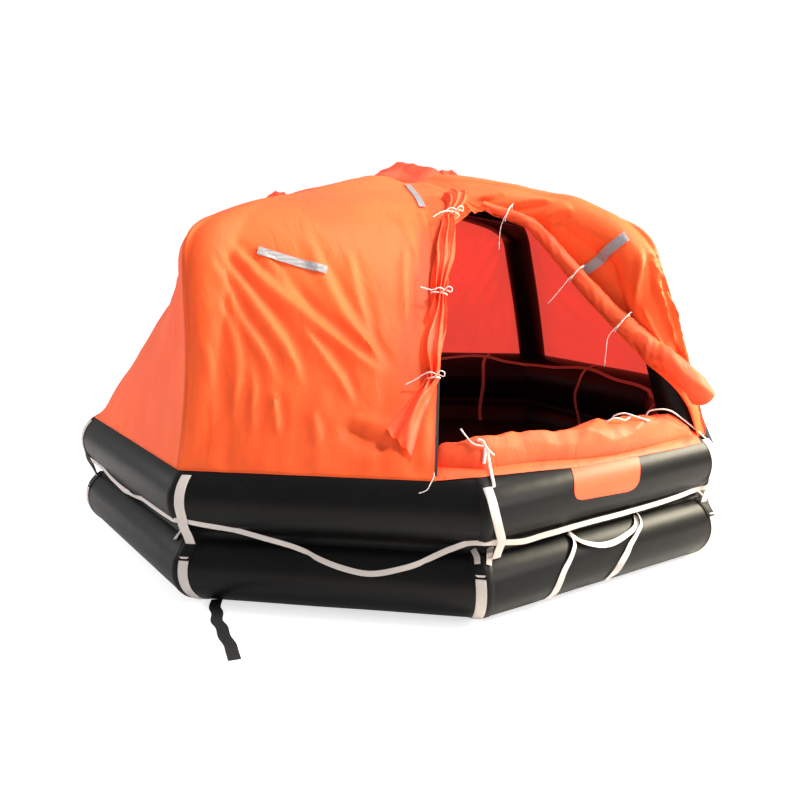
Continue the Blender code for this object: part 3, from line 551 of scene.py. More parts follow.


# ---- loose black strap on the ground

looseStrap = {
    "width": 0.058, "thick": 0.003,
    "start": (-0.607, 1.7323, 0.0052),    # along the left front side, apothem, height
    "lies": 0.0022,             # height of its middle on the ground
    "ripple": 0.0035,
    "route": ((-1.235, -1.45), (-1.222, -1.53), (-1.225, -1.61), (-1.20, -1.70),
              (-1.19, -1.79), (-1.165, -1.88), (-1.155, -1.96), (-1.145, -2.035)),
}


# Centre line from the tube's underside down to the ground, with low ripples where it lies.
def addLooseStrap():
    s = looseStrap
    start = onSide(-1, *s["start"])
    route = np.array([(x, y, s["lies"]) for x, y in s["route"]])
    centre = curveThrough(np.concatenate([[start], route]), 40)
    share = np.linspace(0, 1, 40)
    centre[:, 2] = lerp(start[2], s["lies"], smoothstep(0, 0.12, share))
    loose = smoothstep(0.12, 0.3, share) * (1 - smoothstep(0.8, 0.95, share))
    centre[:, 2] += s["ripple"] * np.sin(share * 9.0) ** 2 * loose
    across = np.cross(unit(np.gradient(centre, axis=0)), upward)
    strap = webbing("loose_black_strap", centre, across, s["width"], s["thick"], "blackWebbing",
                    stands=["loose_strap"])


addLooseStrap()


# ---- buoyancy tubes

tubeSettings = {
    "around": 72,
    "stations": 26,             # along each side
    "pinch": 0.0022,            # how far the mitre seam draws in
    "pinchReach": 0.012,
    "pucker": 0.0014,           # gathers beside each seam
    "puckers": 26,
    "swell": 0.0006,
}


# Shares along a side, closer together beside its ends.
def sideShares(count):
    even = np.linspace(-1, 1, count + 1)[:-1]
    return np.sign(even) * (1 - (1 - np.abs(even)) ** 1.7)


# Ring of the octagon: section circle of radius r(angle, distance to the seam), mitred at corners.
def tubeRings(centreZ, seed):
    s = tubeSettings
    angle, shares = circle(s["around"]), sideShares(s["stations"])[:, None]
    noise = np.random.default_rng(seed)
    rings = []
    for k in range(8):
        phases = noise.uniform(0, 6.28, 6)
        toSeam = (1 - np.abs(shares)) * sideHalf(section(angle, raft["tubeRadius"], centreZ)[0])
        ripple = np.sin(s["puckers"] * angle + phases[0] + 3 * np.sign(shares))
        ripple = ripple + 0.6 * np.sin((s["puckers"] + 7) * angle + phases[1])
        swell = np.sin(shares * 5.1 + phases[2]) * np.sin(2 * angle + phases[3])
        swell = swell + np.sin(shares * 8.3 + phases[4]) * np.sin(angle + phases[5])
        radius = raft["tubeRadius"] - s["pinch"] * np.exp(-toSeam / s["pinchReach"])
        radius = radius - s["pucker"] * (0.5 + 0.4 * ripple) * np.exp(-((toSeam - 0.03) / 0.035) ** 2)
        radius = radius - s["swell"] * (1 - swell * smoothstep(0, 0.2, toSeam))
        apothem, height = section(angle, radius, centreZ)
        rings.append(onSide(k, shares * sideHalf(apothem), apothem, height))
    return np.concatenate(rings)


def addTubes():
    for place, centreZ, seed in (("lower", raft["lowerZ"], 3), ("upper", raft["upperZ"], 8)):
        sweep(place + "_rubber_tube", tubeRings(centreZ, seed), "rubber", 75.0, loop=True,
              stands=[place + "_buoyancy_tube"])


bandSettings = {"half": 0.034, "thick": 0.0011, "sunk": 0.002}
stripSettings = {"reach": 0.105, "arc": 0.030, "thick": 0.0035}


# Glued bands over the mitre seams: a strip round the section, following both sides of the mitre.
def addSeamBands():
    s = bandSettings
    around, aside = 64, np.array([-1, -0.97, -0.5, 0.0, 0.5, 0.97, 1]) * s["half"]
    wide, turns, angle = len(aside), np.arange(around), circle(around)[:, None]
    count = around * wide
    for name, centreZ in (("lower_tube_bands", raft["lowerZ"]), ("upper_tube_bands", raft["upperZ"])):
        points, faces = [], []
        for k in range(8):
            for proud in (np.array([0.3, 1, 1, 1, 1, 1, 0.3]) * s["thick"], -s["sunk"]):
                reach = raft["tubeRadius"] + proud - 0.0008 * np.exp(-np.abs(aside) / 0.01)
                band = besideCorner(k, aside[None], *section(angle, reach, centreZ)).reshape(-1, 3)
                points.append(np.maximum(band, [-9.0, -9.0, 0.0]))    # none below the ground
            start = 2 * count * k
            quads = gridQuads(around, wide, True)[0] + start
            here, after = turns * wide + start, (turns + 1) % around * wide + start
            rim = np.stack([here, after, count + after, count + here], -1)
            faces += [quads, quads[:, ::-1] + count, rim, rim + wide - 1]
        addPiece(name, np.concatenate(points), np.concatenate(faces).tolist(), "band", sharp=50.0)


# Rubber web in the groove between the tubes: a shallow arc carried round the octagon.
def addJoiningStrips():
    s = stripSettings
    middleZ, lift = (raft["lowerZ"] + raft["upperZ"]) / 2, np.linspace(-1, 1, 9)
    hollow = s["reach"] - s["arc"] * (1 - lift ** 2)
    spread = raft["tubeRadius"] - np.sqrt(raft["tubeRadius"] ** 2 - s["reach"] ** 2) + 0.004
    for name, side in (("outer", 1), ("inner", -1)):
        walls = [np.stack([corner(raft["axisApothem"] + side * (hollow - depth), middleZ + lift * spread, k)
                           for k in range(8)]) for depth in (0.0, s["thick"])]
        shell(name + "_joining_strip", *walls, "band", loop=True, sharp=30.0)


addTubes()
addSeamBands()
addJoiningStrips()
print("tubes made")

floorSettings = {"z": 0.19413, "thick": 0.026, "rings": 30, "dimple": 0.004, "spacing": 0.24}


# Floor: an octagon of rings from the middle out, with shallow welded dimples.
def addFloor():
    s = floorSettings
    share, part = np.linspace(0, 1, s["rings"])[1:, None], lerp(-1, 1, np.arange(12) / 12)
    outer = raft["axisApothem"] - raft["tubeRadius"] + 0.004
    along = part * sideHalf(outer)
    flat = share[..., None] * np.concatenate([onSide(k, along, np.full(12, outer), 0.0) for k in range(8)])
    dimple = np.cos(flat[..., 0] * 2 * math.pi / s["spacing"]) * np.cos(flat[..., 1] * 2 * math.pi / s["spacing"])
    sunk = s["dimple"] * (0.5 + 0.5 * dimple) * (1 - smoothstep(0.9, 1.0, share))
    high, low = s["z"], s["z"] - s["thick"]
    slab("rubber_floor", flat + upward * (high - sunk)[..., None], flat + upward * (low + sunk)[..., None],
         [upward * high, upward * low], "floor", 50.0, stands=["floor"])


addFloor()


# ---- arches

# Radius and height of the foot, bend and crown of an arch's axis, inside the canopy's ridge.
def archLine():
    foot = np.array([edgeApothem / math.cos(raft["halfTurn"]), edgeZ])
    shoulder = np.array([raft["shoulderRadius"], raft["shoulderZ"]])
    apex = np.array([0.0, raft["apexZ"]])
    leg, beam = unit(shoulder - foot), unit(shoulder - apex)
    legStart = foot + raft["archClear"] / math.cos(raft["halfTurn"]) * np.array([-leg[1], leg[0]])
    tilt = math.atan2(raft["apexZ"] - raft["shoulderZ"], raft["shoulderRadius"])
    beamStart = apex + raft["archClear"] / math.cos(tilt) * np.array([beam[1], -beam[0]])
    steps = np.linalg.solve(np.array([leg, -beam]).T, beamStart - legStart)
    return legStart, legStart + leg * steps[0], beamStart


archFoot, archBend, archCrown = archLine()
archSettings = {
    "around": 40,
    "rows": ((0, 0.42, 14), (0.43, 0.60, 22), (0.60, 1, 16)),    # closest together round the bend
    "short": 0.10,              # from the crown's middle
    "bendSoft": 0.115,
    "seat": 0.0003,             # between its foot and the tube
    "crown": (0.155, 0.096),    # half width and half height
}


# An arch's axis at shares: from its foot round the bend, and on to short of the crown.
def archAxis(k, shares, short=0.0):
    foot, bend, crown = (level(place[0], k * turn, place[1]) for place in (archFoot, archBend, archCrown))
    return roundedPath([foot, bend, lerp(bend, crown, 1 - short / archBend[0])], [0, 0.5, 1], shares,
                       archSettings["bendSoft"])


# A cosine or sine squared off: its size to a power below 1.
def squared(value, power):
    return np.sign(value) * np.abs(value) ** power


# How far points are from the upper tube's axis.
def fromTubeAxis(points):
    apothem = np.max(points @ facing.T, axis=-1)
    return np.hypot(apothem - raft["axisApothem"], points[..., 2] - raft["upperZ"])


# Arch: a circle carried up the leg, round the bend and along the beam; its foot is slid along
# the leg until it meets the tube, by halving the interval.
def addArches():
    s = archSettings
    shares = np.concatenate([[0], *(np.linspace(*part)[1:] for part in s["rows"])])
    for k, name in legs.items():
        line = archAxis(k, shares, s["short"])
        way = unit(np.gradient(line, axis=0))
        side = unit(np.cross(way, upward))
        rings = line[:, None] + raft["archSkin"] * spokesOf(side, np.cross(side, way), s["around"])
        low, high = np.full(s["around"], -0.4), np.full(s["around"], 0.4)
        for _ in range(40):
            middle = (low + high) / 2
            outside = fromTubeAxis(rings[0] + middle[:, None] * way[0]) > raft["tubeRadius"] + s["seat"]
            low, high = np.where(outside, low, middle), np.where(outside, middle, high)
        fade = np.clip(1 - np.arange(len(rings)) / 8, 0, 1)[:, None, None]
        sweep("arch_tube_" + name, settled(rings + fade * high[:, None] * way[0]), "rubber", 60.0,
              stands=["arch_leg_" + name, "arch_beam_" + name])
    # crown: a pillow, x and y as a rounded square, z as a flattened ellipse
    row, column = np.meshgrid(np.linspace(-1, 1, 25)[1:-1] * math.pi / 2, circle(48), indexing="ij")
    wide, tall = s["crown"]
    flat, high = wide * squared(np.cos(row), 0.55), archCrown[1] - 0.008 + tall * squared(np.sin(row), 0.7)
    rings = np.stack([flat * squared(np.cos(column), 0.6), flat * squared(np.sin(column), 0.6), high], -1)
    sweep("arch_crossing", rings, "rubber", 60.0, stands=["arch_crown"])


# ---- canopy

canopySettings = {
    "rows": 118,
    "columns": {"left": 78, "right": 56, "bay": 62},
    "shoulderRow": 64,          # row at the shoulders
    "leftRows": (70, 82),       # rows at the entrance's blunt top corner and its highest point
    "rightRows": (52, 64),
    "hood": (0.235, -0.61),     # plan place of the entrance's highest point
    "apexHole": 0.070,
    "leftFoot": 0.22,           # left edge's foot, from the front corner
    "rightFoot": 0.06,          # right edge's foot, from its corner
    "shoulderSoft": 0.13,
    "cloth": 0.0022,
    "push": {7: (-0.10, 0.0, 0.045), 1: (-0.05, 0.0, -0.035), 3: (-0.03, 0.0, -0.015), 5: (-0.05, 0.0, 0.02)},
    "pushReach": 0.50,
    "bow": (0.022, 0.044),      # of the beams, everywhere and more away from the top
    "baySag": (0.07, 0.03),     # of a side bay, at its shoulder and all over
    "baySlack": 0.010, "sideSlack": 0.008,
}
rowNumbers = np.arange(canopySettings["rows"])
roofSlope = (raft["apexZ"] - raft["shoulderZ"]) / raft["shoulderRadius"]
frontSlope = roofSlope / math.cos(math.pi / 4)
hoodPoint = np.array([*canopySettings["hood"], raft["apexZ"] - 0.035 + canopySettings["hood"][1] * frontSlope])


# The arches don't stand quite true: each shoulder is pushed aside, fading as exp(-(d / reach)^2).
def settled(points):
    moved = np.array(points, float)
    for k, push in canopySettings["push"].items():
        centre = level(raft["shoulderRadius"], k * turn, raft["shoulderZ"])
        away = np.linalg.norm(points - centre, axis=-1, keepdims=True)
        moved = moved + np.array(push) * np.exp(-(away / canopySettings["pushReach"]) ** 2)
    # the beams are bowed upwards between the top and the shoulders, less between the arches
    radius, azimuth = np.hypot(points[..., 0], points[..., 1]), np.arctan2(points[..., 0], -points[..., 1])
    bowed = canopySettings["bow"][0] + canopySettings["bow"][1] * smoothstep(0, 0.4, radius)
    bowed = bowed * (1 - smoothstep(1.15, 1.66, radius))
    moved[..., 2] += bowed * lerp(0.45, 1, 0.5 - 0.5 * np.cos(4 * azimuth)) * smoothstep(1.3, 1.75, points[..., 2])
    return moved


def ridgePath(k):
    apex = level(canopySettings["apexHole"], k * turn, raft["apexZ"] - canopySettings["apexHole"] * roofSlope)
    stations = [corner(edgeApothem, edgeZ, k), level(raft["shoulderRadius"], k * turn, raft["shoulderZ"]), apex]
    marks = [0, canopySettings["shoulderRow"], rowNumbers[-1]]
    return roundedPath(stations, marks, rowNumbers, canopySettings["shoulderSoft"])


# An entrance's edge through stations at given rows, then the seam from the hood to the top.
def edgePath(stations, marks):
    plan = math.hypot(*canopySettings["hood"])
    inner = np.array([*canopySettings["hood"], 0.0]) / plan * canopySettings["apexHole"]
    inner[2] = lerp(raft["apexZ"], hoodPoint[2], canopySettings["apexHole"] / plan)
    stations, marks = np.array([*stations, hoodPoint, inner]), [*marks, rowNumbers[-1]]
    return np.stack([np.interp(rowNumbers, marks, stations[:, axis]) for axis in range(3)], -1)


leftFoot, rightFoot = (onSide(k, sideHalf(edgeApothem) - canopySettings[key], edgeApothem, edgeZ)
                       for k, key in ((-1, "leftFoot"), (0, "rightFoot")))
leftTop, rightTop = lerp(hoodPoint, leftFoot, 0.14), np.array([0.556, -0.800, 1.715])
leftMiddle = lerp(leftTop, leftFoot, 0.45) + np.array([-0.050, 0.010, 0.0])
leftTop = leftTop + np.array([-0.046, 0.0, 0.030])
leftEdge = edgePath([leftFoot, leftMiddle, leftTop], [0, 38, *canopySettings["leftRows"]])
rightEdge = edgePath([rightFoot, (1.270, -1.362, 0.818), (1.148, -1.250, 1.022), (1.013, -1.134, 1.179),
                      (0.888, -1.039, 1.341), (0.737, -0.929, 1.513), rightTop],
                     [0, 5, 14, 22, 31, 41, *canopySettings["rightRows"]])


# Points nearer to an arch's axis than reach are moved straight away from it.
def keepClear(points, reach):
    for k in legs:
        line = archAxis(k, np.linspace(0, 1, 60))
        for start, end in zip(line[:-1], line[1:]):
            span = end - start
            near = np.linalg.norm(points - (start + end) / 2, axis=-1) < 0.35
            if not near.any():
                continue
            share = np.clip((points[near] - start) @ span / span.dot(span), 0, 1)[..., None]
            away = points[near] - (start + share * span)
            distance = np.linalg.norm(away, axis=-1, keepdims=True)
            points[near] = np.where(distance < reach, start + share * span + away / distance * reach, points[near])
    return points


# Each inner point becomes the mean of its four neighbours, some times over.
def relaxed(grid, times):
    for _ in range(times):
        middle = (grid[:-2, 1:-1] + grid[2:, 1:-1] + grid[1:-1, :-2] + grid[1:-1, 2:]) / 4
        grid = grid.copy()
        grid[1:-1, 1:-1] = middle
    return grid


# Points of each row are spaced evenly along it, but those of the first rows are kept.
def respaced(grid, spread, kept=1):
    steps = np.linalg.norm(np.diff(grid, axis=1), axis=-1)
    length = np.concatenate([np.zeros((len(grid), 1)), np.cumsum(steps, axis=1)], axis=1)
    length = length + np.arange(grid.shape[1]) * 1e-9
    made = np.stack([[np.interp(spread * far[-1], far, row[:, axis]) for axis in range(3)]
                     for far, row in zip(length, grid)]).transpose(0, 2, 1)
    if kept:
        made[:kept] = grid[:kept]
    return made


def gridNormals(grid):
    normals = unit(np.cross(np.gradient(grid, axis=1), np.gradient(grid, axis=0)))
    return normals * np.sign(np.sum(normals * (grid - np.array([0, 0, 0.9]))))


# Points of a grid at (row share, column share), mixed from its four nearest points.
def onGrid(grid, shares):
    shares = np.asarray(shares, float)
    row, column = shares[..., 0] * (grid.shape[0] - 1), shares[..., 1] * (grid.shape[1] - 1)
    i, j = (np.clip(value.astype(int), 0, size - 2) for value, size in zip((row, column), grid.shape))
    a, b = (row - i)[..., None], (column - j)[..., None]
    return ((grid[i, j] * (1 - a) + grid[i + 1, j] * a) * (1 - b)
            + (grid[i, j + 1] * (1 - a) + grid[i + 1, j + 1] * a) * b)


# Folds along lines of (row share, column share). With x the distance to the line over its width,
# each lifts the cloth by depth (exp(-x^2) - 0.5 exp(-(x - 1.5)^2)), fading at both ends.
def folded(grid, lines, hold):
    normals, lift = gridNormals(grid), np.zeros(grid.shape[:2])
    for line, width, depth in lines:
        path = curveThrough(onGrid(grid, line), 36)
        way = unit(np.gradient(path, axis=0))
        offset = grid[:, :, None] - path
        nearest = np.argmin(np.sum(offset ** 2, axis=-1), axis=-1)
        gap = np.take_along_axis(offset, nearest[..., None, None], axis=2)[:, :, 0]
        side = np.sum(np.cross(way[nearest], gap) * normals, axis=-1)
        share = nearest / 35
        wide = width * (0.45 + 0.75 * np.sin(math.pi * np.clip(share, 0.05, 0.85)))
        x = np.sign(side) * np.linalg.norm(gap, axis=-1) / wide
        crest = np.exp(-x ** 2 * np.where(x > 0, 3.4, 0.7)) - 0.55 * np.exp(-((x - 1.2) / 0.7) ** 2)
        lift += depth * crest * smoothstep(0, 0.22, share) * (1 - smoothstep(0.72, 1, share))
    return grid + normals * (lift * hold)[..., None]


# 1 inside a grid, 0 on its borders; each border's own reach in shares of the grid.
def heldBorders(grid, low, high, left, right):
    row, column = (np.linspace(0, 1, size) for size in grid.shape[:2])
    fade = smoothstep(0, low, row) * (1 - smoothstep(1 - high, 1, row))
    return fade[:, None] * (smoothstep(0, left, column) * (1 - smoothstep(1 - right, 1, column)))[None]


# Gathers where the cloth is glued to the tube: sines along the foot, fading upwards.
def puckered(grid, seed, depth=0.0035):
    noise = np.random.default_rng(seed)
    along, high = travelled(grid[0]), grid[:, :, 2] - edgeZ
    wave = np.zeros(grid.shape[:2])
    for length in (0.31, 0.19, 0.13, 0.085):
        wave += np.sin(along / length * 6.28 + noise.uniform(0, 6.28) + 2.2 * high) * length / 0.2
    rise = smoothstep(0, 0.035, high) * np.exp(-high / 0.30)
    return grid + gridNormals(grid) * (wave * rise * depth)[..., None]


# Broad slackness: two slow waves over the panel.
def slackened(grid, seed, depth, hold):
    noise = np.random.default_rng(seed)
    wave = np.zeros(grid.shape[:2])
    for length in (0.9, 0.55, 0.33):
        way = unit(noise.normal(size=3))
        wave += np.sin(grid @ way / length * 6.28 + noise.uniform(0, 6.28)
                       + 0.8 * np.sin(grid[..., 2] * 3.1 + noise.uniform(0, 6.28))) * length
    return grid + gridNormals(grid) * (wave * depth * hold)[..., None]


leftFolds = (
    (((0.525, 0.065), (0.427, 0.211), (0.333, 0.335), (0.255, 0.425), (0.185, 0.468)), 0.036, 0.026),
    (((0.535, 0.110), (0.416, 0.329), (0.346, 0.496), (0.221, 0.821)), 0.040, 0.034),
    (((0.510, 0.060), (0.420, 0.160), (0.350, 0.210), (0.270, 0.310), (0.190, 0.370)), 0.032, 0.020),
    (((0.500, 0.270), (0.410, 0.400), (0.345, 0.520)), 0.030, 0.018),
    (((0.345, 0.430), (0.270, 0.540), (0.192, 0.640), (0.150, 0.680)), 0.030, 0.022),
    (((0.404, 0.123), (0.288, 0.198), (0.094, 0.201)), 0.036, 0.017),
    (((0.190, 0.350), (0.075, 0.390)), 0.022, 0.016),
    (((0.560, 0.380), (0.430, 0.533), (0.300, 0.713), (0.225, 0.830)), 0.036, 0.020),
    (((0.520, 0.580), (0.420, 0.640), (0.300, 0.740)), 0.030, 0.013),
    (((0.150, 0.510), (0.060, 0.550)), 0.026, 0.013),
    (((0.560, 0.800), (0.460, 0.830), (0.330, 0.870)), 0.022, 0.012),
    (((0.300, 0.080), (0.200, 0.110), (0.080, 0.120)), 0.030, 0.012),
    (((0.280, 0.250), (0.180, 0.270), (0.070, 0.290)), 0.026, 0.012),
    (((0.690, 0.880), (0.630, 0.930), (0.560, 0.955)), 0.016, 0.014),
    (((0.680, 0.780), (0.610, 0.870), (0.540, 0.920)), 0.020, 0.013),
    (((0.640, 0.700), (0.580, 0.800), (0.500, 0.890)), 0.022, 0.010),
    (((0.120, 0.620), (0.085, 0.740), (0.060, 0.860)), 0.050, -0.028),
)
rightFolds = (
    (((0.450, 0.165), (0.380, 0.260), (0.332, 0.348), (0.270, 0.500)), 0.024, 0.034),
    (((0.470, 0.100), (0.423, 0.130), (0.276, 0.255), (0.150, 0.371)), 0.022, 0.037),
    (((0.480, 0.045), (0.400, 0.065), (0.240, 0.110), (0.100, 0.150)), 0.019, 0.028),
    (((0.420, 0.200), (0.320, 0.270), (0.200, 0.330), (0.100, 0.400)), 0.019, -0.022),
    (((0.350, 0.060), (0.230, 0.170), (0.120, 0.240)), 0.019, 0.025),
    (((0.550, 0.380), (0.520, 0.560), (0.480, 0.760)), 0.029, 0.019),
    (((0.590, 0.420), (0.560, 0.650), (0.520, 0.850)), 0.024, 0.019),
    (((0.640, 0.600), (0.590, 0.780), (0.550, 0.920)), 0.017, 0.019),
    (((0.300, 0.400), (0.200, 0.480), (0.100, 0.550)), 0.022, 0.023),
    (((0.250, 0.560), (0.160, 0.640), (0.080, 0.680)), 0.020, 0.019),
)
bayFolds = (
    (((0.500, 0.92), (0.312, 0.90), (0.197, 0.82), (0.130, 0.78)), 0.040, -0.022),
    (((0.520, 0.06), (0.380, 0.15), (0.230, 0.27), (0.100, 0.33)), 0.045, 0.016),
    (((0.560, 0.50), (0.430, 0.49), (0.250, 0.51)), 0.060, 0.014),
    (((0.510, 0.88), (0.400, 0.70), (0.280, 0.58)), 0.040, 0.013),
    (((0.510, 0.12), (0.400, 0.31), (0.280, 0.42)), 0.040, 0.013),
    (((0.700, 0.30), (0.600, 0.40), (0.480, 0.43)), 0.050, 0.010),
)


# A panel kept off the arches and evened, then folded, slackened and gathered at its foot.
def draped(grid, spread, folds, seed, borders, depth):
    for _ in range(3):
        grid = respaced(keepClear(grid, raft["archClear"]), spread)
    hold = heldBorders(grid, *borders)
    grid = slackened(folded(grid, folds, hold), seed, depth, hold)
    return keepClear(puckered(grid, seed), raft["archClear"])


# Side bay: straight between its two ridges above the shoulders, two facets meeting the corner below.
def sideBay(k, seed):
    left, right = ridgePath(k - 1), ridgePath(k + 1)
    middle, at = corner(edgeApothem, edgeZ, k), canopySettings["shoulderRow"]
    climb = np.clip(rowNumbers / at, 0, 1)[:, None]
    towardLeft, towardRight = (np.where((rowNumbers > at)[:, None], ridge, lerp(middle, ridge[at], climb))
                               for ridge in (left, right))
    spread = np.linspace(0, 1, canopySettings["columns"]["bay"] + 1)
    grid = respaced(np.stack([left, towardLeft, towardRight, right], axis=1), spread, 0)
    slack, share = 4 * spread * (1 - spread), rowNumbers[:, None] / rowNumbers[-1]
    shoulder, whole = canopySettings["baySag"]
    sag = shoulder * slack * np.exp(-((share - 0.55) / 0.16) ** 2) + whole * slack * np.sin(math.pi * share)
    sag[0] = 0
    grid = relaxed(grid + sag[..., None] * unit(-direction(k * turn) - upward), 40)
    return draped(grid, spread, bayFolds, seed, (0.06, 0.2, 0.05, 0.05), canopySettings["baySlack"])


def entranceSide(edge, k, columns, folds, seed):
    spread = np.linspace(0, 1, columns + 1)
    grid = relaxed(lerp(ridgePath(k)[:, None], edge[:, None], spread[None, :, None]), 30)
    return draped(grid, spread, folds, seed, (0.05, 0.2, 0.04, 0.05), canopySettings["sideSlack"])


# Cloth across the entrance's blunt top: a fan from its highest point down to a drooping hem.
def hoodCloth():
    (leftLow, leftHigh), (rightLow, rightHigh) = canopySettings["leftRows"], canopySettings["rightRows"]
    leftSide, rightSide = leftEdge[leftLow:leftHigh + 1], rightEdge[rightLow:rightHigh + 1]
    share, down = np.linspace(0, 1, 33), np.linspace(1, 0, len(leftSide))[:, None]
    grid = lerp(leftSide[:, None], rightSide[:, None], share[None, :, None])
    inner = np.sin(math.pi * share) ** 0.8
    forward = unit(np.cross(rightTop - hoodPoint, leftTop - hoodPoint))
    forward = forward * np.sign(-forward[1])
    ripple = 0.020 * (1 - 2 * np.abs(np.sin(share * 8.5 + 0.8 * down))) + 0.007 * np.sin(share * 37 + 2)
    grid = lerp(grid, hoodPoint, (0.40 * inner * smoothstep(0.15, 1, down))[..., None])
    return grid + (down * inner * (0.040 + ripple))[..., None] * forward


panels = {
    "front_left": entranceSide(leftEdge, -1, canopySettings["columns"]["left"], leftFolds, 4),
    "front_right": entranceSide(rightEdge, 1, canopySettings["columns"]["right"], rightFolds, 9),
    "front_hood": hoodCloth(),
}
for front, rear in (("front_left", "rear_right"), ("front_right", "rear_left"), ("front_hood", "rear_hood")):
    panels[rear] = panels[front] * turnedBack
panels["side_left"], panels["side_right"] = sideBay(-2, 11), sideBay(2, 12)
panels = {name: settled(grid) for name, grid in panels.items()}


# Crossed diagonals of a grid's cells: twice their area, along their normals.
def cellCross(grid):
    return np.cross(grid[1:, 1:] - grid[:-1, :-1], grid[1:, :-1] - grid[:-1, 1:])


# All panels as one welded cloth, given its thickness inwards, with the inside's finish there.
def addCanopy():
    points, faces, uv, start = [], [], [], 0
    for name, grid in panels.items():
        rows, columns = grid.shape[:2]
        quads, cornerRows, cornerColumns = gridQuads(rows, columns)
        if np.sum(cellCross(grid) * gridNormals(grid)[1:, 1:]) < 0:
            quads, cornerRows, cornerColumns = quads[:, ::-1], cornerRows[:, ::-1], cornerColumns[:, ::-1]
        down, over = travelled(grid[:, columns // 2]), travelled(grid[rows // 4])
        points.append(grid.reshape(-1, 3))
        faces.append(quads + start)
        uv.append(np.stack([down[cornerRows], over[cornerColumns]], -1).reshape(-1, 2))
        start += rows * columns
    points, faces, uv = (np.concatenate(values) for values in (points, faces, uv))
    canopy = addPiece("canopy", points, faces.tolist(), "canopy", uv, 70.0, outwards=False,
                      stands=["canopy_" + name for name in panels if "hood" not in name])
    canopy.data.materials.append(finishes["inside"])
    shape = bmesh.new()
    shape.from_mesh(canopy.data)
    bmesh.ops.remove_doubles(shape, verts=shape.verts, dist=0.0002)
    shape.to_mesh(canopy.data)
    shape.free()
    canopy.data.shade_smooth()
    wall = canopy.modifiers.new("cloth", "SOLIDIFY")
    wall.thickness, wall.offset, wall.material_offset = canopySettings["cloth"], -1.0, 1


addArches()
print("arches made")
addCanopy()


# ---- webbing on the tubes

strapSettings = {
    "half": 0.025, "thick": 0.0028, "proud": 0.0012,
    "upperAngles": (46, -17),   # down the upper tube
    "lowest": -74,              # angle at which it ends under the lower one
    # place round the raft, from the front: how far aside of the mitre at the top, middle and foot
    "aside": {
        "front": (0.012, 0.085, 0.062), "right_front": (-0.030, -0.034, -0.010), "right": (0.006, -0.020, 0.0),
        "right_rear": (0.0, 0.022, 0.004), "rear": (0.010, 0.060, 0.0), "left_rear": (-0.02, 0.016, 0.0),
        "left": (0.02, -0.018, 0.006), "left_front": (0.058, 0.056, 0.050)},
    "lowerAside": {"front": -0.034, "right_front": -0.012},
    "pad": (57.0, 22.0), "padHalf": 0.036,
}


# Strip over a corner of the octagon: a line of (apothem, height) in the section, aside of the
# mitre by an amount for each station; each side of the mitre has its own plane.
def cornerStrip(name, k, line, aside, half, thick, finish, **more):
    way = unit(np.gradient(line, axis=0))
    normal = np.stack([-way[:, 1], way[:, 0]], -1)[:, None]
    edge = np.array([0.25, 0.9, 1, 1, 1, 1, 1, 0.9, 0.25]) * thick
    walls = []
    for lift in (edge[None, :, None], -0.0005):
        route = line[:, None] + normal * lift
        walls.append(besideCorner(k, aside[:, None] + np.linspace(-1, 1, 9) * half, route[..., 0], route[..., 1]))
    return shell(name, *walls, finish, **more)


def sectionLine(angles, reach, centreZ):
    return np.stack(section(np.radians(angles), reach, centreZ), -1)


def addCornerStraps():
    s, radius = strapSettings, raft["tubeRadius"] + strapSettings["proud"]
    for k, (place, (start, swing, end)) in enumerate(s["aside"].items()):
        # the upper piece: down the upper tube, straight across the groove, on to the lower tube
        line = sectionLine(np.linspace(*s["upperAngles"], 16), radius, raft["upperZ"])
        foot = sectionLine(s["pad"][0] - 8, radius + 0.006, raft["lowerZ"])
        line = np.concatenate([line, lerp(line[-1], foot, np.linspace(0, 1, 14)[1:, None])])
        share = travelled(line) / travelled(line)[-1]
        aside = evened(np.interp(share, [0, 0.35, 0.76, 1.0], [start, lerp(start, swing, 0.35), swing, end]), 2)
        line[:, 0] += 0.010 * np.exp(-((share - 0.72) / 0.12) ** 2)
        cornerStrip("upper_strap_" + place, k, line, aside, s["half"], s["thick"], "webbing")
        # the black pad on the lower tube, and the lower piece from it to the underside
        end = s["lowerAside"].get(place, end)
        line = sectionLine(np.linspace(*s["pad"], 10), raft["tubeRadius"] + 0.002, raft["lowerZ"])
        cornerStrip("strap_pad_" + place, k, line, np.full(10, end), s["padHalf"], 0.005, "band")
        reach = radius + 0.0045 * np.exp(-np.arange(26) / 1.6)
        line = sectionLine(np.linspace(s["pad"][1] + 6, s["lowest"], 26), reach, raft["lowerZ"])
        cornerStrip("lower_strap_" + place, k, line, np.full(26, end), s["half"], s["thick"], "webbing",
                    stands=["corner_strap_" + place])


lineSettings = {
    "width": 0.027, "thick": 0.0026, "groove": 1.806, "atApothem": 1.812,
    "heights": {     # (along a side, height) stations, from the photograph on the two seen in full
        -2: ((-0.685, 0.418), (-0.377, 0.381), (-0.181, 0.373), (0.05, 0.385), (0.227, 0.408), (0.521, 0.430)),
        -1: ((-0.684, 0.445), (-0.622, 0.432), (-0.457, 0.403), (-0.313, 0.370), (-0.172, 0.337), (-0.033, 0.289),
             (0.077, 0.260), (0.205, 0.243), (0.35, 0.270), (0.436, 0.295), (0.595, 0.372), (0.687, 0.407)),
        0: ((-0.652, 0.389), (-0.539, 0.370), (-0.398, 0.373), (-0.135, 0.376), (0.144, 0.376), (0.539, 0.389),
            (0.66, 0.400)),
    },
    "droops": {1: 0.10, 2: 0.14, 3: 0.08, 4: 0.05, 5: 0.09},
}


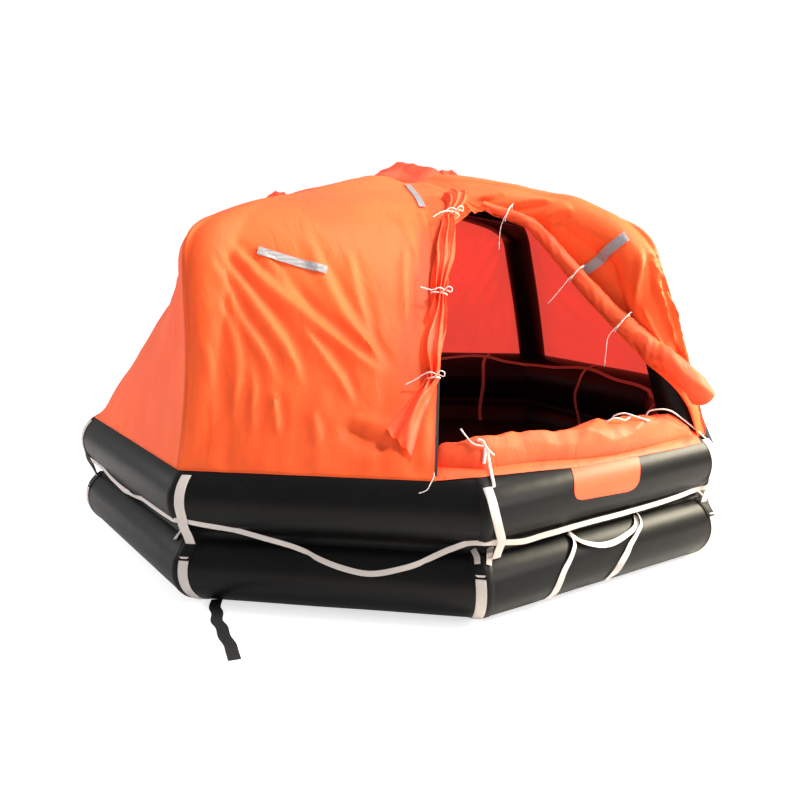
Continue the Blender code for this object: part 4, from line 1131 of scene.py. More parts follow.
# Outer skin of the two tubes at a height, and never deeper than the line stretches over the groove.
def skinApothem(height, proud):
    found = np.full(np.shape(height), lineSettings["groove"])
    for centreZ in (raft["lowerZ"], raft["upperZ"]):
        inside = np.maximum((raft["tubeRadius"] + proud) ** 2 - (height - centreZ) ** 2, 0)
        found = np.maximum(found, raft["axisApothem"] + np.sqrt(inside))
    return found


# Centre line of the grab line round the raft: one curve through every side's stations.
def grabLinePath():
    s, points = lineSettings, []
    for k in range(-2, 6):
        share = np.linspace(0.06, 0.94, 8)
        droop = np.stack([1.5 * share - 0.75, 0.420 - s["droops"].get(k, 0) * 4 * share * (1 - share)], -1)
        along, height = np.array(s["heights"].get(k, droop)).T
        apothem = skinApothem(height, 0.004)
        points.append(onSide(k, along * apothem / s["atApothem"], apothem, height))
    return ringThrough(np.concatenate(points), 1500)


# The line hugs the tubes: apothem = skin at its height; across it lies down the skin, twisting a little.
def addGrabLine():
    s, curve = lineSettings, grabLinePath()
    reach = curve @ facing.T
    outward = facing[np.argmax(reach, axis=1)]
    wanted = skinApothem(curve[:, 2], 0.0045)
    curve = curve + outward * (wanted - np.max(reach, axis=1))[:, None]
    for _ in range(3):
        curve = (np.roll(curve, 1, axis=0) + curve * 2 + np.roll(curve, -1, axis=0)) / 4
    lean = np.where(curve[:, 2] > 0.358, 1, -1) * np.clip((s["groove"] - wanted) * -9, 0, 0.55)
    length, noise, twist = travelled(curve), np.random.default_rng(5), 0
    for centre in noise.uniform(0, length[-1], 26):
        twist = twist + noise.uniform(-0.9, 0.9) * np.exp(-((length - centre) / 0.09) ** 2)
    twist = np.sin(twist)[:, None]
    across = unit(upward + outward * lean[:, None]) + outward * twist * 0.7
    line = webbing("grab_line", curve + outward * 0.006 * np.abs(twist), across, s["width"], s["thick"], "webbing",
                   loop=True, stands=["outer_grab_line"])
    length = float(length[-1])
    print("grab line", round(length, 2), "m")


ladderSettings = {
    "width": 0.031, "thick": 0.0028,
    # lift over the tube, at the top, twist, and route: (along the side, angle round the lower tube)
    "straps": {
        "strap_left": (0.004, 0.010, 0.55, (
            (-0.205, 74), (-0.212, 60), (-0.221, 39), (-0.252, 27), (-0.290, 14), (-0.327, 1),
            (-0.351, -15), (-0.362, -34), (-0.370, -52))),
        "strap_right": (0.006, 0.010, 0.8, (
            (0.215, 78), (0.248, 65), (0.232, 41), (0.185, 29), (0.131, 16), (0.092, 4),
            (0.054, -8), (0.030, -24), (0.014, -44))),
        "step": (0.008, 0.008, 0.5, (
            (-0.219, 58), (-0.192, 42), (-0.119, 30), (0.010, 24.7), (0.104, 30), (0.205, 42), (0.240, 55))),
    },
}


# Webbing over the lower tube's skin along a route; the same at the rear.
def addLadders():
    s, share = ladderSettings, np.linspace(0, 1, 44)[:, None]
    fade = smoothstep(0, 0.12, share) * (1 - smoothstep(0.75, 1, share))
    for name, (lift, top, twist, route) in s["straps"].items():
        along, angle = np.array(route, float).T
        lean = twist * np.sin(share * math.pi * 1.6 + 0.4) * fade
        for side, place in ((0, "front"), (4, "rear")):
            proud = np.array([top] + [lift] * (len(along) - 1))
            centre = curveThrough(onTube(side, along, np.radians(angle), proud, raft["lowerZ"]), 44)
            outward = centre - onSide(side, 0.0, raft["axisApothem"], raft["lowerZ"])
            outward = unit(outward - sideWay(side) * (outward @ sideWay(side))[:, None])
            across = unit(np.cross(unit(np.gradient(centre, axis=0)), outward)) + outward * lean
            webbing(place + "_boarding_" + name, centre + outward * 0.45 * s["width"] * np.abs(lean), across,
                    s["width"], s["thick"], "webbing", stands=[place + "_ladder_" + name])


patchSettings = {
    "rounding": 0.14, "roundFrom": 0.66,    # shares of its width and height
    # along the side and angle on the tube, each left and right, at its upper and its lower edge
    "along": ((-0.228, 0.208), (-0.270, 0.158)),
    "angle": ((48.7, 41.5), (-3.5, -11.0)),
}


# Blank orange patch glued to the upper tube, its two lower corners rounded.
def addPatches():
    s, down, over = patchSettings, np.linspace(0, 1, 22)[:, None], np.linspace(0, 1, 25)
    bend = np.clip((down - s["roundFrom"]) / (1 - s["roundFrom"]), 0, 1)
    narrow = s["rounding"] * (1 - np.sqrt(1 - bend ** 2))
    over = narrow + (1 - 2 * narrow) * over
    along, angle = (lerp(lerp(*upper, over), lerp(*lower, over), down)
                    for upper, lower in (s["along"], s["angle"]))
    angle = np.radians(angle)
    for side, place in ((0, "front"), (4, "rear")):
        walls = [onTube(side, along, angle, proud + 0 * along, raft["upperZ"]) for proud in (0.0022, -0.0005)]
        shell(place + "_blank_patch", *walls, "patch", sharp=30.0, stands=[place + "_boarding_patch"])


# How far the cloth stands along a way at places: mean of its near points, weight exp(-(d / reach)^2).
def clothHeight(places, cloud, way, reach):
    flat = places - (places @ way)[..., None] * way
    cloudFlat = cloud - (cloud @ way)[:, None] * way
    weight = np.exp(-np.sum((flat[..., None, :] - cloudFlat) ** 2, axis=-1) / reach ** 2) + 1e-30
    return np.sum(weight * (cloud @ way), axis=-1) / np.sum(weight, axis=-1)


# Reflective tapes lie on the cloth: (name, panel, start, end, width).
tapes = (
    ("left", "front_left", (-0.932, -1.116, 1.701), (-0.594, -1.115, 1.591), 0.040),
    ("top", "front_left", (-0.020, -0.311, 2.005), (-0.009, -0.683, 1.886), 0.036),
    ("right", "front_right", (0.800, -0.974, 1.519), (0.990, -1.160, 1.729), 0.052),
)


def addTapes():
    for name, panel, start, end, width in tapes:
        grid, start, end = panels[panel], np.array(start), np.array(end)
        cloud, shine = grid.reshape(-1, 3), gridNormals(grid).reshape(-1, 3)
        near = np.linalg.norm(cloud - (start + end) / 2, axis=1) < 0.35
        cloud, way, normal = cloud[near], unit(end - start), unit(shine[near].mean(axis=0))
        normal = unit(normal - way * normal.dot(way))
        share, spread = np.linspace(0, 1, 44)[:, None, None], np.linspace(-0.5, 0.5, 9)[None, :, None] * width
        points = lerp(start, end, share) + np.cross(normal, way) * spread
        apart = points[:, :, None] - cloud
        aside = np.linalg.norm(apart - (apart @ normal)[..., None] * normal, axis=-1)
        highest = np.where(aside < 0.028, cloud @ normal, -9.0).max(axis=-1)    # of the cloth just beside
        stand = np.maximum(clothHeight(points, cloud, normal, 0.010), highest - 0.002)
        points = points + normal * (stand - points @ normal + 0.0062)[..., None]
        for suffix, turned in ends:
            walls = points * turned, (points - normal * 0.003) * turned
            shell("reflective_tape_%s_%s" % (name, suffix), *walls, "tape")


# Short straps from the grab line down to the pads: (side, along and angle and lift of each station).
beckets = (
    (-1, ((0.655, 84, 0.034), (0.668, 76, 0.022), (0.690, 64, 0.010), (0.706, 54, 0.008), (0.712, 44, 0.007))),
    (0, ((-0.640, 84, 0.036), (-0.668, 72, 0.018), (-0.700, 60, 0.011), (-0.722, 50, 0.009), (-0.738, 42, 0.007))),
    (-2, ((0.600, 84, 0.030), (0.630, 72, 0.016), (0.655, 60, 0.009), (0.668, 48, 0.007))),
    (1, ((-0.600, 84, 0.030), (-0.625, 72, 0.016), (-0.650, 60, 0.009), (-0.664, 48, 0.007))),
)


becketSettings = {"width": 0.028, "thick": 0.0026}


def addBeckets():
    s = becketSettings
    for number, (side, stations) in enumerate(beckets):
        along, angle, lift = np.array(stations).T
        centre = curveThrough(onTube(side, along, np.radians(angle), lift, raft["lowerZ"]), 26)
        across = sideWay(side) + np.linspace(0.9, 0.0, 26)[:, None] * direction((side + 0.5) * turn)
        for suffix, turned in ends:
            webbing("becket_%d_%s" % (number + 1, suffix), centre * turned, across * turned, s["width"],
                    s["thick"], "webbing")


addCornerStraps()
addGrabLine()
addBeckets()
addLadders()
addPatches()
addTapes()
print("webbing made")


# ---- loose cloth: curtain, rolled flap, sill, sleeve

# A sheet of cloth at both ends from the front one's grid, its thickness both ways along the normals.
def addCloth(name, front, thick, finish, stands, sharp=75.0):
    for place, turned in ends:
        grid = front * turned
        normals = unit(np.cross(np.gradient(grid, axis=1), np.gradient(grid, axis=0)))
        piece = shell(place + name, grid + normals * thick / 2, grid - normals * thick / 2, finish, sharp=sharp,
                      stands=[place + stands])


# Smooth noise along a line: sines of given lengths with seeded phases.
def slowNoise(seed, at, lengths):
    noise = np.random.default_rng(seed)
    return sum(np.sin(at / length * 2 * math.pi + noise.uniform(0, 6.28)) / len(lengths) for length in lengths)


# A tie's narrow tape at both ends, smooth through its stations.
def addTie(name, stations, radius, count):
    front = curveThrough(np.array(stations), count)
    for place, turned in ends:
        path = front * turned
        tie = pipe(place + "_" + name, path, radius, "thread")


# A tie's band and its two tails, one of which hangs free.
def addBow(name, band, tails, radii, count):
    addTie(name + "_band", band, radii[0], count)
    for letter, tail in zip("ab", tails):
        addTie(name + "_" + letter, tail, radii[1], 30)


curtainSettings = {
    "rows": 124, "columns": 84, "waves": 2.7, "thick": 0.0012,
    # (share down the free length, width, stands off the canopy), narrow at its three ties
    "widths": ((0.0, 0.118, 0.004), (0.06, 0.112, 0.012), (0.15, 0.074, 0.018), (0.22, 0.104, 0.026),
               (0.31, 0.112, 0.030), (0.40, 0.090, 0.024), (0.46, 0.062, 0.020), (0.53, 0.086, 0.026),
               (0.62, 0.094, 0.030), (0.71, 0.078, 0.024), (0.77, 0.050, 0.018)),
    "rowSpan": (85.0, 25.0),    # canopy rows of its top and its lowest tie
    # place down the length, the long tail's drop on the way, its reach and drop at its end
    "ties": ((0.15, 0.010, 0.135, 0.030), (0.46, -0.004, 0.125, -0.012), (0.77, 0.022, 0.150, 0.050)),
    # canopy shares of the free end's two points, and of the bends on the way to them
    "tips": ((0.100, 0.806), (0.045, 0.915)),
    "bends": ((0.150, 0.855), (0.165, 0.955)),
    "forward": np.array([-0.25, -0.9, 0.35]),    # the way the free end stands off
}


# Frame of an entrance edge at fractional canopy rows: place, into the cloth, outwards.
def edgeFrame(panel, rows, back=9):
    grid = panels[panel]
    at = np.stack([rows / (grid.shape[0] - 1), np.ones(len(rows))], -1)
    place, inner = onGrid(grid, at), onGrid(grid, at - [0.0, back / (grid.shape[1] - 1)])
    into = unit(inner - place)
    outwards = unit(np.cross(into, unit(np.gradient(place, axis=0))))
    outwards = outwards * np.sign(np.sum(outwards * (place - [0, 0, 0.9]), axis=-1, keepdims=True))
    return place, into, outwards


# Gathered curtain. Over its width u in -1..1 the section is x = w/2 (u + 0.15 sin 2a) and
# y = 0.3 w sqrt(1 - u^2) + depth sin a with a = waves pi u + a slow phase: pleats that lean over.
def addCurtain():
    s = curtainSettings
    at, width, off = np.array(s["widths"]).T
    tied = at[-1]
    share = np.concatenate([np.linspace(0, tied, 96)[:-1], np.linspace(tied, 1, s["rows"] - 95)])
    down, u = share[:, None], np.linspace(-1, 1, s["columns"])
    place, into, outwards = edgeFrame("front_left", np.interp(share, [0, tied], s["rowSpan"]))
    width, off = (evened(np.interp(share, at, values), 3)[:, None] for values in (width, off))
    free = np.clip((down - tied) / (1 - tied), 0, 1)
    phase = 2.4 * slowNoise(3, down, (0.9, 0.43)) + 0.5 * slowNoise(4, down, (0.21, 0.13))
    angle = s["waves"] * math.pi * u * (1 - 0.35 * free) + phase + 1.3 * u * np.sin(down * 17)
    angle = angle + 1.1 * np.sin(2.6 * u + 3.0 + 9.0 * down)
    depth = 0.016 + 0.008 * slowNoise(5, down, (0.31, 0.17))
    depth = depth * (1 - 0.45 * np.exp(-((u + 0.1) / 0.4) ** 2) * np.sin(down * 23))
    x = width / 2 * (u + 0.15 * np.sin(2 * angle) * (1 - free))
    y = 0.30 * width * np.sqrt(np.clip(1 - u ** 2, 0, 1)) + depth * np.sin(angle)
    centre = place + into * (0.030 + 0.008 * slowNoise(6, down, (0.5, 0.23))) + outwards * off
    grid = centre[:, None] + into[:, None] * x[..., None] + outwards[:, None] * y[..., None]
    # below the lowest tie the cloth falls free, opening to an oblique pointed end
    last, t, over = np.argmin(np.abs(share - tied)), free[..., None], (u[:, None] + 1) / 2
    tips, bends = (onGrid(panels["front_left"], s[key]) for key in ("tips", "bends"))
    leftLine, rightLine = ((1 - t) ** 2 * grid[last, side] + 2 * t * (1 - t) * bend + t ** 2 * tip
                           for side, bend, tip in zip((-1, 0), bends, tips))
    ridge = 0.055 * np.exp(-((over - 0.42) / 0.20) ** 2) * np.sin(math.pi * np.clip(t * 0.85 + 0.12, 0, 1))
    ridge = ridge + 0.020 * np.exp(-((over - 0.80) / 0.08) ** 2) * t * (1 - 0.5 * t)
    ridge = ridge - 0.014 * np.exp(-((over - 0.66) / 0.07) ** 2) * t
    pleats = (depth * np.sin(angle))[..., None] * (1 - t) ** 1.5
    fall = lerp(rightLine, leftLine, over) + unit(s["forward"]) * (0.022 + ridge + pleats)
    joined = lerp(grid[last] + (fall - fall[last]), fall, smoothstep(0.0, 0.16, t))
    grid = np.where(t > 0, joined, grid)
    grid[:, :, 2] += 0.008 * np.sin(u * 9.0) * np.clip(free * 2 - 1, 0, 1)
    addCloth("_entrance_gathered_curtain", grid, s["thick"], "flap", "_entrance_curtain")
    # three ties: a band round the gathers, then a bow with two tails
    spin = np.linspace(-0.6, 2 * math.pi - 0.2, 22)
    for number, (at, drop, far, fallen) in enumerate(s["ties"]):
        row = np.argmin(np.abs(share - at))
        ways, middle, size = (into[row], outwards[row], upward), grid[row].mean(axis=0), width[row, 0] / 2 + 0.008
        turns = (size * np.cos(spin), 0.026 * np.sin(spin) + 0.002, 0.010 * np.cos(spin + number))
        knot = beside(middle, ways, (-0.45 * size, 0.036, 0))
        tails = (
            [*beside(middle, ways, ((0, -0.022, 0), (0, 0.010, 0))), *beside(knot, ways, (
                (0, 0, 0), (0.03, 0.014, 0.004), (0.065, 0.006, -0.004), (0.095, 0.002, -drop),
                (far, 0.001, -fallen)))],
            beside(knot, ways, ((0, 0, 0), (-0.020, 0.012, 0.012), (-0.040, 0.010, 0.003),
                                (-0.036, 0.008, -0.012), (-0.012, 0.010, -0.006))),
        )
        addBow("curtain_tie_%d" % (number + 1), beside(middle, ways, np.stack(turns, -1)), tails,
               (0.0040, 0.0030), 44)


rollSettings = {
    "rows": 120, "columns": 96, "turns": 2.6, "thick": 0.0012,
    "rowSpan": (60.0, 6.5),     # canopy rows of its top and of its open lower end
    "over": np.array([0.62, -0.33, 0.71]),    # the way from the edge on to the cloth
    "spiral": 0.84,             # share of the section that is rolled
    # (share down the roll, radius)
    "radii": ((0.0, 0.024), (0.10, 0.030), (0.25, 0.037), (0.40, 0.043), (0.55, 0.049), (0.70, 0.056),
              (0.85, 0.063), (1.0, 0.070)),
    "droop": np.array([0.030, -0.010, -0.020]),
    # share down the roll, and the long tail's last two stations: (past the roll, below the knot)
    "ties": ((0.085, (0.040, 0.060), (0.045, 0.115)), (0.40, (0.105, 0.030), (0.130, 0.034)),
             (0.66, (0.035, 0.075), (0.045, 0.150))),
}


# Rolled flap: over v in 0..1 the section is a spiral of radius R (0.22 + 0.78 v^0.8) which ends as
# a tongue lying on the canopy; the outer turn is creased along its length.
def addRoll():
    s, spiral = rollSettings, rollSettings["spiral"]
    share, v = np.linspace(0, 1, s["rows"]), np.linspace(0, 1, s["columns"])
    down = share[:, None]
    place = edgeFrame("front_right", np.interp(share, [0, 1], s["rowSpan"]), 7)[0]
    along = unit(np.stack([evened(np.gradient(place[:, axis]), 15) for axis in range(3)], -1))
    into = unit(s["over"] - along * (along @ s["over"])[:, None])
    outwards = np.cross(along, into)
    radius = np.interp(down, *np.array(s["radii"]).T) * (1 + 0.05 * slowNoise(21, down, (0.31, 0.19)))
    turned = np.clip(v / spiral, 0, 1)
    angle = math.pi * 1.15 - (1 - turned) * s["turns"] * 2 * math.pi
    creases = 0.09 * np.sin(2 * angle + 5.0 * slowNoise(22, down, (0.8, 0.37)))
    creases = creases + 0.07 * (1 - 2 * np.abs(np.sin(2.5 * angle + 7.0 * slowNoise(23, down, (0.5, 0.29)))))
    reach = radius * (0.22 + 0.78 * turned ** 0.8) * (1 + creases * turned)
    x, y = reach * np.cos(angle), reach * np.sin(angle)
    # the tongue leaves the roll and runs on under it, into the canopy's cloth
    tongue = np.clip((v - spiral) / (1 - spiral), 0, 1)
    edge = np.argmax(v > spiral) - 1
    x = np.where(tongue > 0, x[:, edge:edge + 1] + tongue * radius * 1.5, x)
    y = np.where(tongue > 0, lerp(y[:, edge:edge + 1], -radius * 1.02, smoothstep(0, 1, tongue)), y)
    back = radius * 0.80 + 0.026 * smoothstep(0.02, 0.25, down) + 0.026 * smoothstep(0.6, 1.0, down)
    above = radius * 0.95 + 0.003 + 0.006 * slowNoise(24, down, (0.42, 0.23)) + 0.012 * smoothstep(0.05, 0.3, down)
    centre = place + into * back + outwards * above
    grid = centre[:, None] + into[:, None] * x[..., None] + outwards[:, None] * y[..., None]
    # the open end is cut on the skew and droops a little
    droop = smoothstep(0.86, 1.0, down) * np.clip(np.sin(angle), -0.2, 1)
    addCloth("_entrance_rolled_flap", grid + droop[..., None] * s["droop"], s["thick"], "flap",
             "_entrance_flap")
    # ties round the roll, each with a knot on top and tails over the opening
    spin = np.linspace(-2.2, 2.9, 20)
    for number, (at, *hanging) in enumerate(s["ties"]):
        row = int(at * (s["rows"] - 1))
        ways, middle, size = (into[row], outwards[row], upward), centre[row], radius[row, 0] + 0.006
        turns = (size * np.cos(spin), size * np.sin(spin), 0.012 * np.cos(spin))
        knot = beside(middle, ways, (-0.2 * size, size + 0.003, 0))
        tails = (
            beside(knot, ways, ((0, 0, 0), (0.026, 0.008, 0.006), (0.050, 0.002, 0.003), (0.072, -0.010, -0.004))),
            [beside(place[row], ways, (0, 0.01, 0)), middle, beside(middle, ways, (0, size * 0.6, 0)),
             *beside(knot, ways, ((0, 0, 0), (-0.03, 0.004, 0), (-size - 0.022, 0, -0.010),
                                  *((-size - past, 0, -below) for past, below in hanging)))],
        )
        addBow("flap_tie_%d" % (number + 1), beside(middle, ways, np.stack(turns, -1)), tails,
               (0.0034, 0.0024), 40)


sillSettings = {
    "stations": 150, "columns": 54, "thick": 0.0014,
    "split": 0.36,              # share of the section that is glued skirt
    "inner": 112.0,             # angle at which it ends, on the inner side
    # (metres along both sides from the corner, low edge's angle, valley's angle, crest over the tube)
    "course": (
        (-0.225, 54.0, 90.0, 0.050), (-0.16, 57.0, 90.0, 0.115), (-0.07, 62.5, 90.0, 0.132),
        (0.02, 66.0, 88.0, 0.132), (0.10, 62.0, 84.0, 0.128), (0.33, 54.3, 74.0, 0.128),
        (0.58, 45.4, 60.0, 0.122), (0.80, 43.0, 54.0, 0.128), (1.00, 41.8, 55.0, 0.128),
        (1.14, 41.0, 56.0, 0.116), (1.28, 40.0, 58.0, 0.070), (1.42, 41.0, 62.0, 0.030)),
}


# Sill flap: glued skirt from its low edge up to a fold valley, then a bunched roll over the
# tube's top and down its inner side, with lumps, sags and creases along it.
def addSill():
    s, (course, *values) = sillSettings, np.array(sillSettings["course"]).T
    at, v = np.linspace(course[0], course[-1], s["stations"])[:, None], np.linspace(0, 1, s["columns"])
    low, valley, crest = (evened(np.interp(at[:, 0], course, value), 4)[:, None] for value in values)
    skirt, part = v <= s["split"], np.clip(v / s["split"], 0, 1)
    rolled = np.clip((v - s["split"]) / (1 - s["split"]), 0, 1)
    angle = np.radians(np.where(skirt, lerp(low, valley, part), lerp(valley, s["inner"], rolled ** 0.9)))
    bulge = np.sin(math.pi * rolled ** 0.72) ** 0.75
    lumps = 0.10 * slowNoise(31, at, (0.52, 0.31)) + 0.05 * slowNoise(32, at, (0.17, 0.11))
    # creases run along the flap and wander; the second layer shows as a step near the crest
    wander = slowNoise(33, at, (0.9, 0.5))
    ridges = 1 - np.abs(np.sin(rolled * 7.5 + 1.3 * wander + at * 1.9))
    steps = 1 - np.abs(np.sin(rolled * 5.2 - 1.7 * wander - at * 3.1 + 0.8))
    crease = (0.014 * ridges ** 2 + 0.012 * steps ** 3 - 0.008) * np.clip(bulge * 1.4, 0, 1)
    glued = 0.0025 * np.sin(part * math.pi) * (1 + slowNoise(34, at, (0.17, 0.11)))
    proud = np.maximum(0.0030 + np.where(skirt, glued, crest * bulge * (1 + lumps) + crease), 0.0022)
    fade = smoothstep(0, 0.05, at - at[0]) * smoothstep(0, 0.08, at[-1] - at)
    reach = raft["tubeRadius"] + lerp(0.0025, proud, fade)
    grid = besideCorner(0, at, *section(angle, reach, raft["upperZ"]))
    # rounded over the corner by averaging along the course
    for _ in range(4):
        grid[1:-1] = (grid[:-2] + 2 * grid[1:-1] + grid[2:]) / 4
    addCloth("_sill_flap", grid, s["thick"], "sill", "_entrance_sill", 60.0)


# A heap of cloth on the roof: rings of radius R(a) r, height H (1 - r^p) with sharp folds.
def heap(name, centre, reach, high, base, folds, seed, counts=(22, 60), **more):
    r, a = np.linspace(0.02, 1, counts[0])[:, None], circle(counts[1])
    noise = np.random.default_rng(seed)
    outline = 1 + sum(noise.uniform(0.03, 0.08) * np.sin(n * a + noise.uniform(0, 6.28)) for n in (2, 3, 5, 8))
    x, y = reach[0] * outline * r * np.cos(a), reach[1] * outline * r * np.sin(a)
    height = high * (1 - r ** 3.2) ** 0.75
    for (wayX, wayY), size, depth, shift in folds:
        across = (x * wayX + y * wayY) / size + shift + 0.6 * np.sin((x * wayY - y * wayX) / (2.3 * size))
        height = height + depth * (0.5 - np.abs(np.sin(across * math.pi))) * (1 - r ** 2) ** 0.6
    x, y = centre[0] + x, centre[1] + y
    top, under = (np.stack([x, y, base(x, y) + lift], -1) for lift in (np.maximum(height, 0.002), -0.003))
    pile = slab(name, top, under, [top[0].mean(axis=0), under[0].mean(axis=0)], "sleeve", 55.0, **more)


# Height of the cloth under a small piece near a place.
def roofUnder(place, reach):
    cloud = np.concatenate([grid.reshape(-1, 3) for grid in panels.values()])
    cloud = cloud[np.hypot(cloud[:, 0] - place[0], cloud[:, 1] - place[1]) < reach]
    return lambda x, y: clothHeight(np.stack([x, y, 0 * x], -1), cloud, upward, 0.035) - 0.003


def addTopPieces():
    heap("sleeve_bundle", (0.065, -0.01), (0.275, 0.200), 0.066, roofUnder((0.065, 0.0), 0.40),
         (((0.42, 0.90), 0.20, 0.042, 0.30), ((0.95, -0.3), 0.24, 0.024, 0.15),
          ((-0.7, 0.7), 0.11, 0.012, 0.6)),
         8, (40, 110), stands=["lookout_sleeve"])
    heap("sleeve_end", (0.300, -0.06), (0.105, 0.100), 0.074, roofUnder((0.300, -0.06), 0.3),
         (((0.8, 0.6), 0.075, 0.016, 0.1), ((-0.5, 0.85), 0.060, 0.010, 0.4)), 3)
    middle = middleOf("canopy_light_pocket")[0]
    heap("light_pocket", middle, (0.085, 0.060), 0.036, roofUnder(middle, 0.2),
         (((0.9, 0.4), 0.060, 0.014, 0.2), ((-0.3, 0.95), 0.045, 0.010, 0.5)), 5, stands=["canopy_light_pocket"])


addCurtain()
addRoll()
addSill()
addTopPieces()
print("loose cloth made")


# ---- inside

insideSettings = {
    "width": 0.025, "thick": 0.0024,
    # angle round the upper tube's inner side at a side's hanger, between, and at its corners
    "high": 118.0, "between": 133.0, "low": 140.0,
    "hangers": (0.0, 0.0, 0.0, -0.33, 0.0, 0.0, 0.0, 0.0),    # along each side
    "hangerAngles": (96, 108, 120, 140, 160, 180),            # over the upper tube
    "hangerProud": (0.004, 0.004, 0.009, 0.009, 0.004, 0.004),
    "lowerAngles": (164, 172),                                # straight down past the joint
    "hangerWidth": 0.026,
}


# Lifeline on the upper tube's inner skin, and its hangers.
def addInsideLines():
    s, points = insideSettings, []
    half = sideHalf(raft["axisApothem"] - raft["tubeRadius"])
    angle = np.radians([s["low"], s["between"], s["high"], s["between"]])
    for k, hanger in enumerate(s["hangers"]):
        along = np.array([0.02 - half, (hanger - half) / 2, hanger, (hanger + half) / 2])
        points.append(onTube(k, along, angle, 0.006, raft["upperZ"]))
    curve = ringThrough(np.concatenate(points), 900)
    outward = facing[np.argmax(curve @ facing.T, axis=1)]
    # kept on the skin where the curve would dip into the tube
    way = ringWay(curve)
    off, rise = np.sum(curve * outward, axis=-1) - raft["axisApothem"], curve[:, 2] - raft["upperZ"]
    sunk = np.maximum(raft["tubeRadius"] + 0.006 - np.hypot(off, rise), 0) / np.hypot(off, rise)
    curve = curve + outward * (off * sunk)[:, None] + upward * (rise * sunk)[:, None]
    webbing("inner_lifeline_webbing", curve, upward + outward * 0.9, s["width"], s["thick"], "insideWebbing",
            loop=True, way=way, stands=["inner_lifeline"])
    # over the tube's top, through the line and down both tubes to the floor
    noise = np.random.default_rng(12)
    for k, along in enumerate(s["hangers"]):
        sway = noise.uniform(-0.05, 0.05, 6)
        upper = onTube(k, along + 0.4 * sway, np.radians(s["hangerAngles"]), s["hangerProud"], raft["upperZ"])
        lower = onTube(k, along + sway[4:], np.radians(s["lowerAngles"]), 0.010, raft["lowerZ"])
        webbing("lifeline_hanger_%d" % k, curveThrough(np.concatenate([upper, lower]), 46), sideWay(k),
                s["hangerWidth"], s["thick"], "insideWebbing")


# Small pocket of doubled cloth on the canopy's inside, over the entrance's far side.
def addInnerPocket():
    grid, rows, columns = panels["rear_left"], np.linspace(0.110, 0.200, 9), np.linspace(0.62, 0.50, 11)
    shares = np.stack(np.meshgrid(rows, columns, indexing="ij"), -1)
    points, inward = onGrid(grid, shares), -onGrid(gridNormals(grid), shares)
    edge = np.minimum(np.minimum(rows - rows[0], rows[-1] - rows) / 0.02, 1)[:, None]
    outer = points + inward * (0.0045 + 0.010 * edge * np.sin(np.linspace(0, math.pi, 11)))[..., None]
    shell("inner_pocket", outer, points + inward * 0.0028, "pocket")


# The sill's bow: radius and places of its tails from the knot's foot on.
bowFoot = (-0.675, math.radians(84), 0.030)
bowKnot = (0.043, -1.814, 0.815)
bowTails = {
    "sill_tie_a": (0.0038, bowKnot, (-0.014, -1.798, 0.834), (-0.037, -1.766, 0.860), (-0.063, -1.757, 0.898)),
    "sill_tie_b": (0.0052, (0.030, -1.772, 0.810), (0.012, -1.787, 0.850), (0.029, -1.795, 0.846),
                   (0.043, -1.817, 0.818), (0.062, -1.822, 0.794), (0.080, -1.815, 0.779)),
    "sill_tie_c": (0.0080, bowKnot, (0.050, -1.822, 0.777), (0.052, -1.838, 0.739), (0.047, -1.885, 0.709),
                   (0.0455, -1.922, 0.683), (0.042, -1.945, 0.668)),
}
# Others lie along a side of the upper tube: radius, side, then (along, angle, over the tube).
sideTies = {
    "zip_cord": (0.0020, -1, (0.505, 70, 0.010), (0.510, 58, 0.016), (0.500, 48, 0.012), (0.485, 38, 0.008),
                 (0.450, 33, 0.006)),
    "sill_tie_d": (0.0038, 0, (0.07, 84, 0.030), (0.08, 82, 0.125), (0.11, 78, 0.148), (0.16, 74, 0.140),
                   (0.20, 76, 0.142)),
    "sill_tie_e": (0.0038, 0, (0.16, 92, 0.030), (0.17, 90, 0.130), (0.20, 84, 0.148), (0.24, 76, 0.142),
                   (0.30, 68, 0.130)),
    "corner_cord": (0.0045, 0, (0.41, 92, 0.030), (0.42, 91, 0.115), (0.48, 86, 0.128), (0.55, 84, 0.112),
                    (0.62, 78, 0.066), (0.67, 68, 0.030), (0.70, 56, 0.012), (0.715, 46, 0.008)),
}


# The entrance's zip along its left edge below the lowest tie, with a puller's cord, and the sill's ties.
def addEntranceTrim():
    place, into, outwards = edgeFrame("front_left", np.linspace(27, 1.2, 60), 6)
    for suffix, turned in ends:
        webbing(suffix + "_entrance_zip", (place - into * 0.001 + outwards * 0.002) * turned, into * turned,
                0.012, 0.003, "blackWebbing")
    foot = onTube(0, *bowFoot, raft["upperZ"])
    routes = {name: (radius, [foot, *places]) for name, (radius, *places) in bowTails.items()}
    for name, (radius, side, *stations) in sideTies.items():
        along, angle, proud = np.array(stations).T
        routes[name] = radius, onTube(side, along, np.radians(angle), proud, raft["upperZ"])
    for name, (radius, stations) in routes.items():
        addTie(name, stations, radius, 36)


# ---- underneath

# A round body lying along x: (place along its axis, radius) turned about it.
def lathe(name, profile, middle, finish, sides, sharp, **more):
    (along, radius), angle = np.array(profile, float).T[..., None], circle(sides)
    rings = middle + np.stack([along + 0 * angle, -radius * np.cos(angle), radius * np.sin(angle)], -1)
    return sweep(name, rings, finish, sharp, **more)


# Steps of the valve, as shares of its box: (along, radius).
valveSteps = ((-1.0, 0.62), (-0.7, 0.62), (-0.66, 0.92), (-0.2, 0.92), (-0.16, 0.70),
              (0.30, 0.70), (0.34, 0.95), (0.82, 0.95), (0.92, 0.80), (1.0, 0.5))


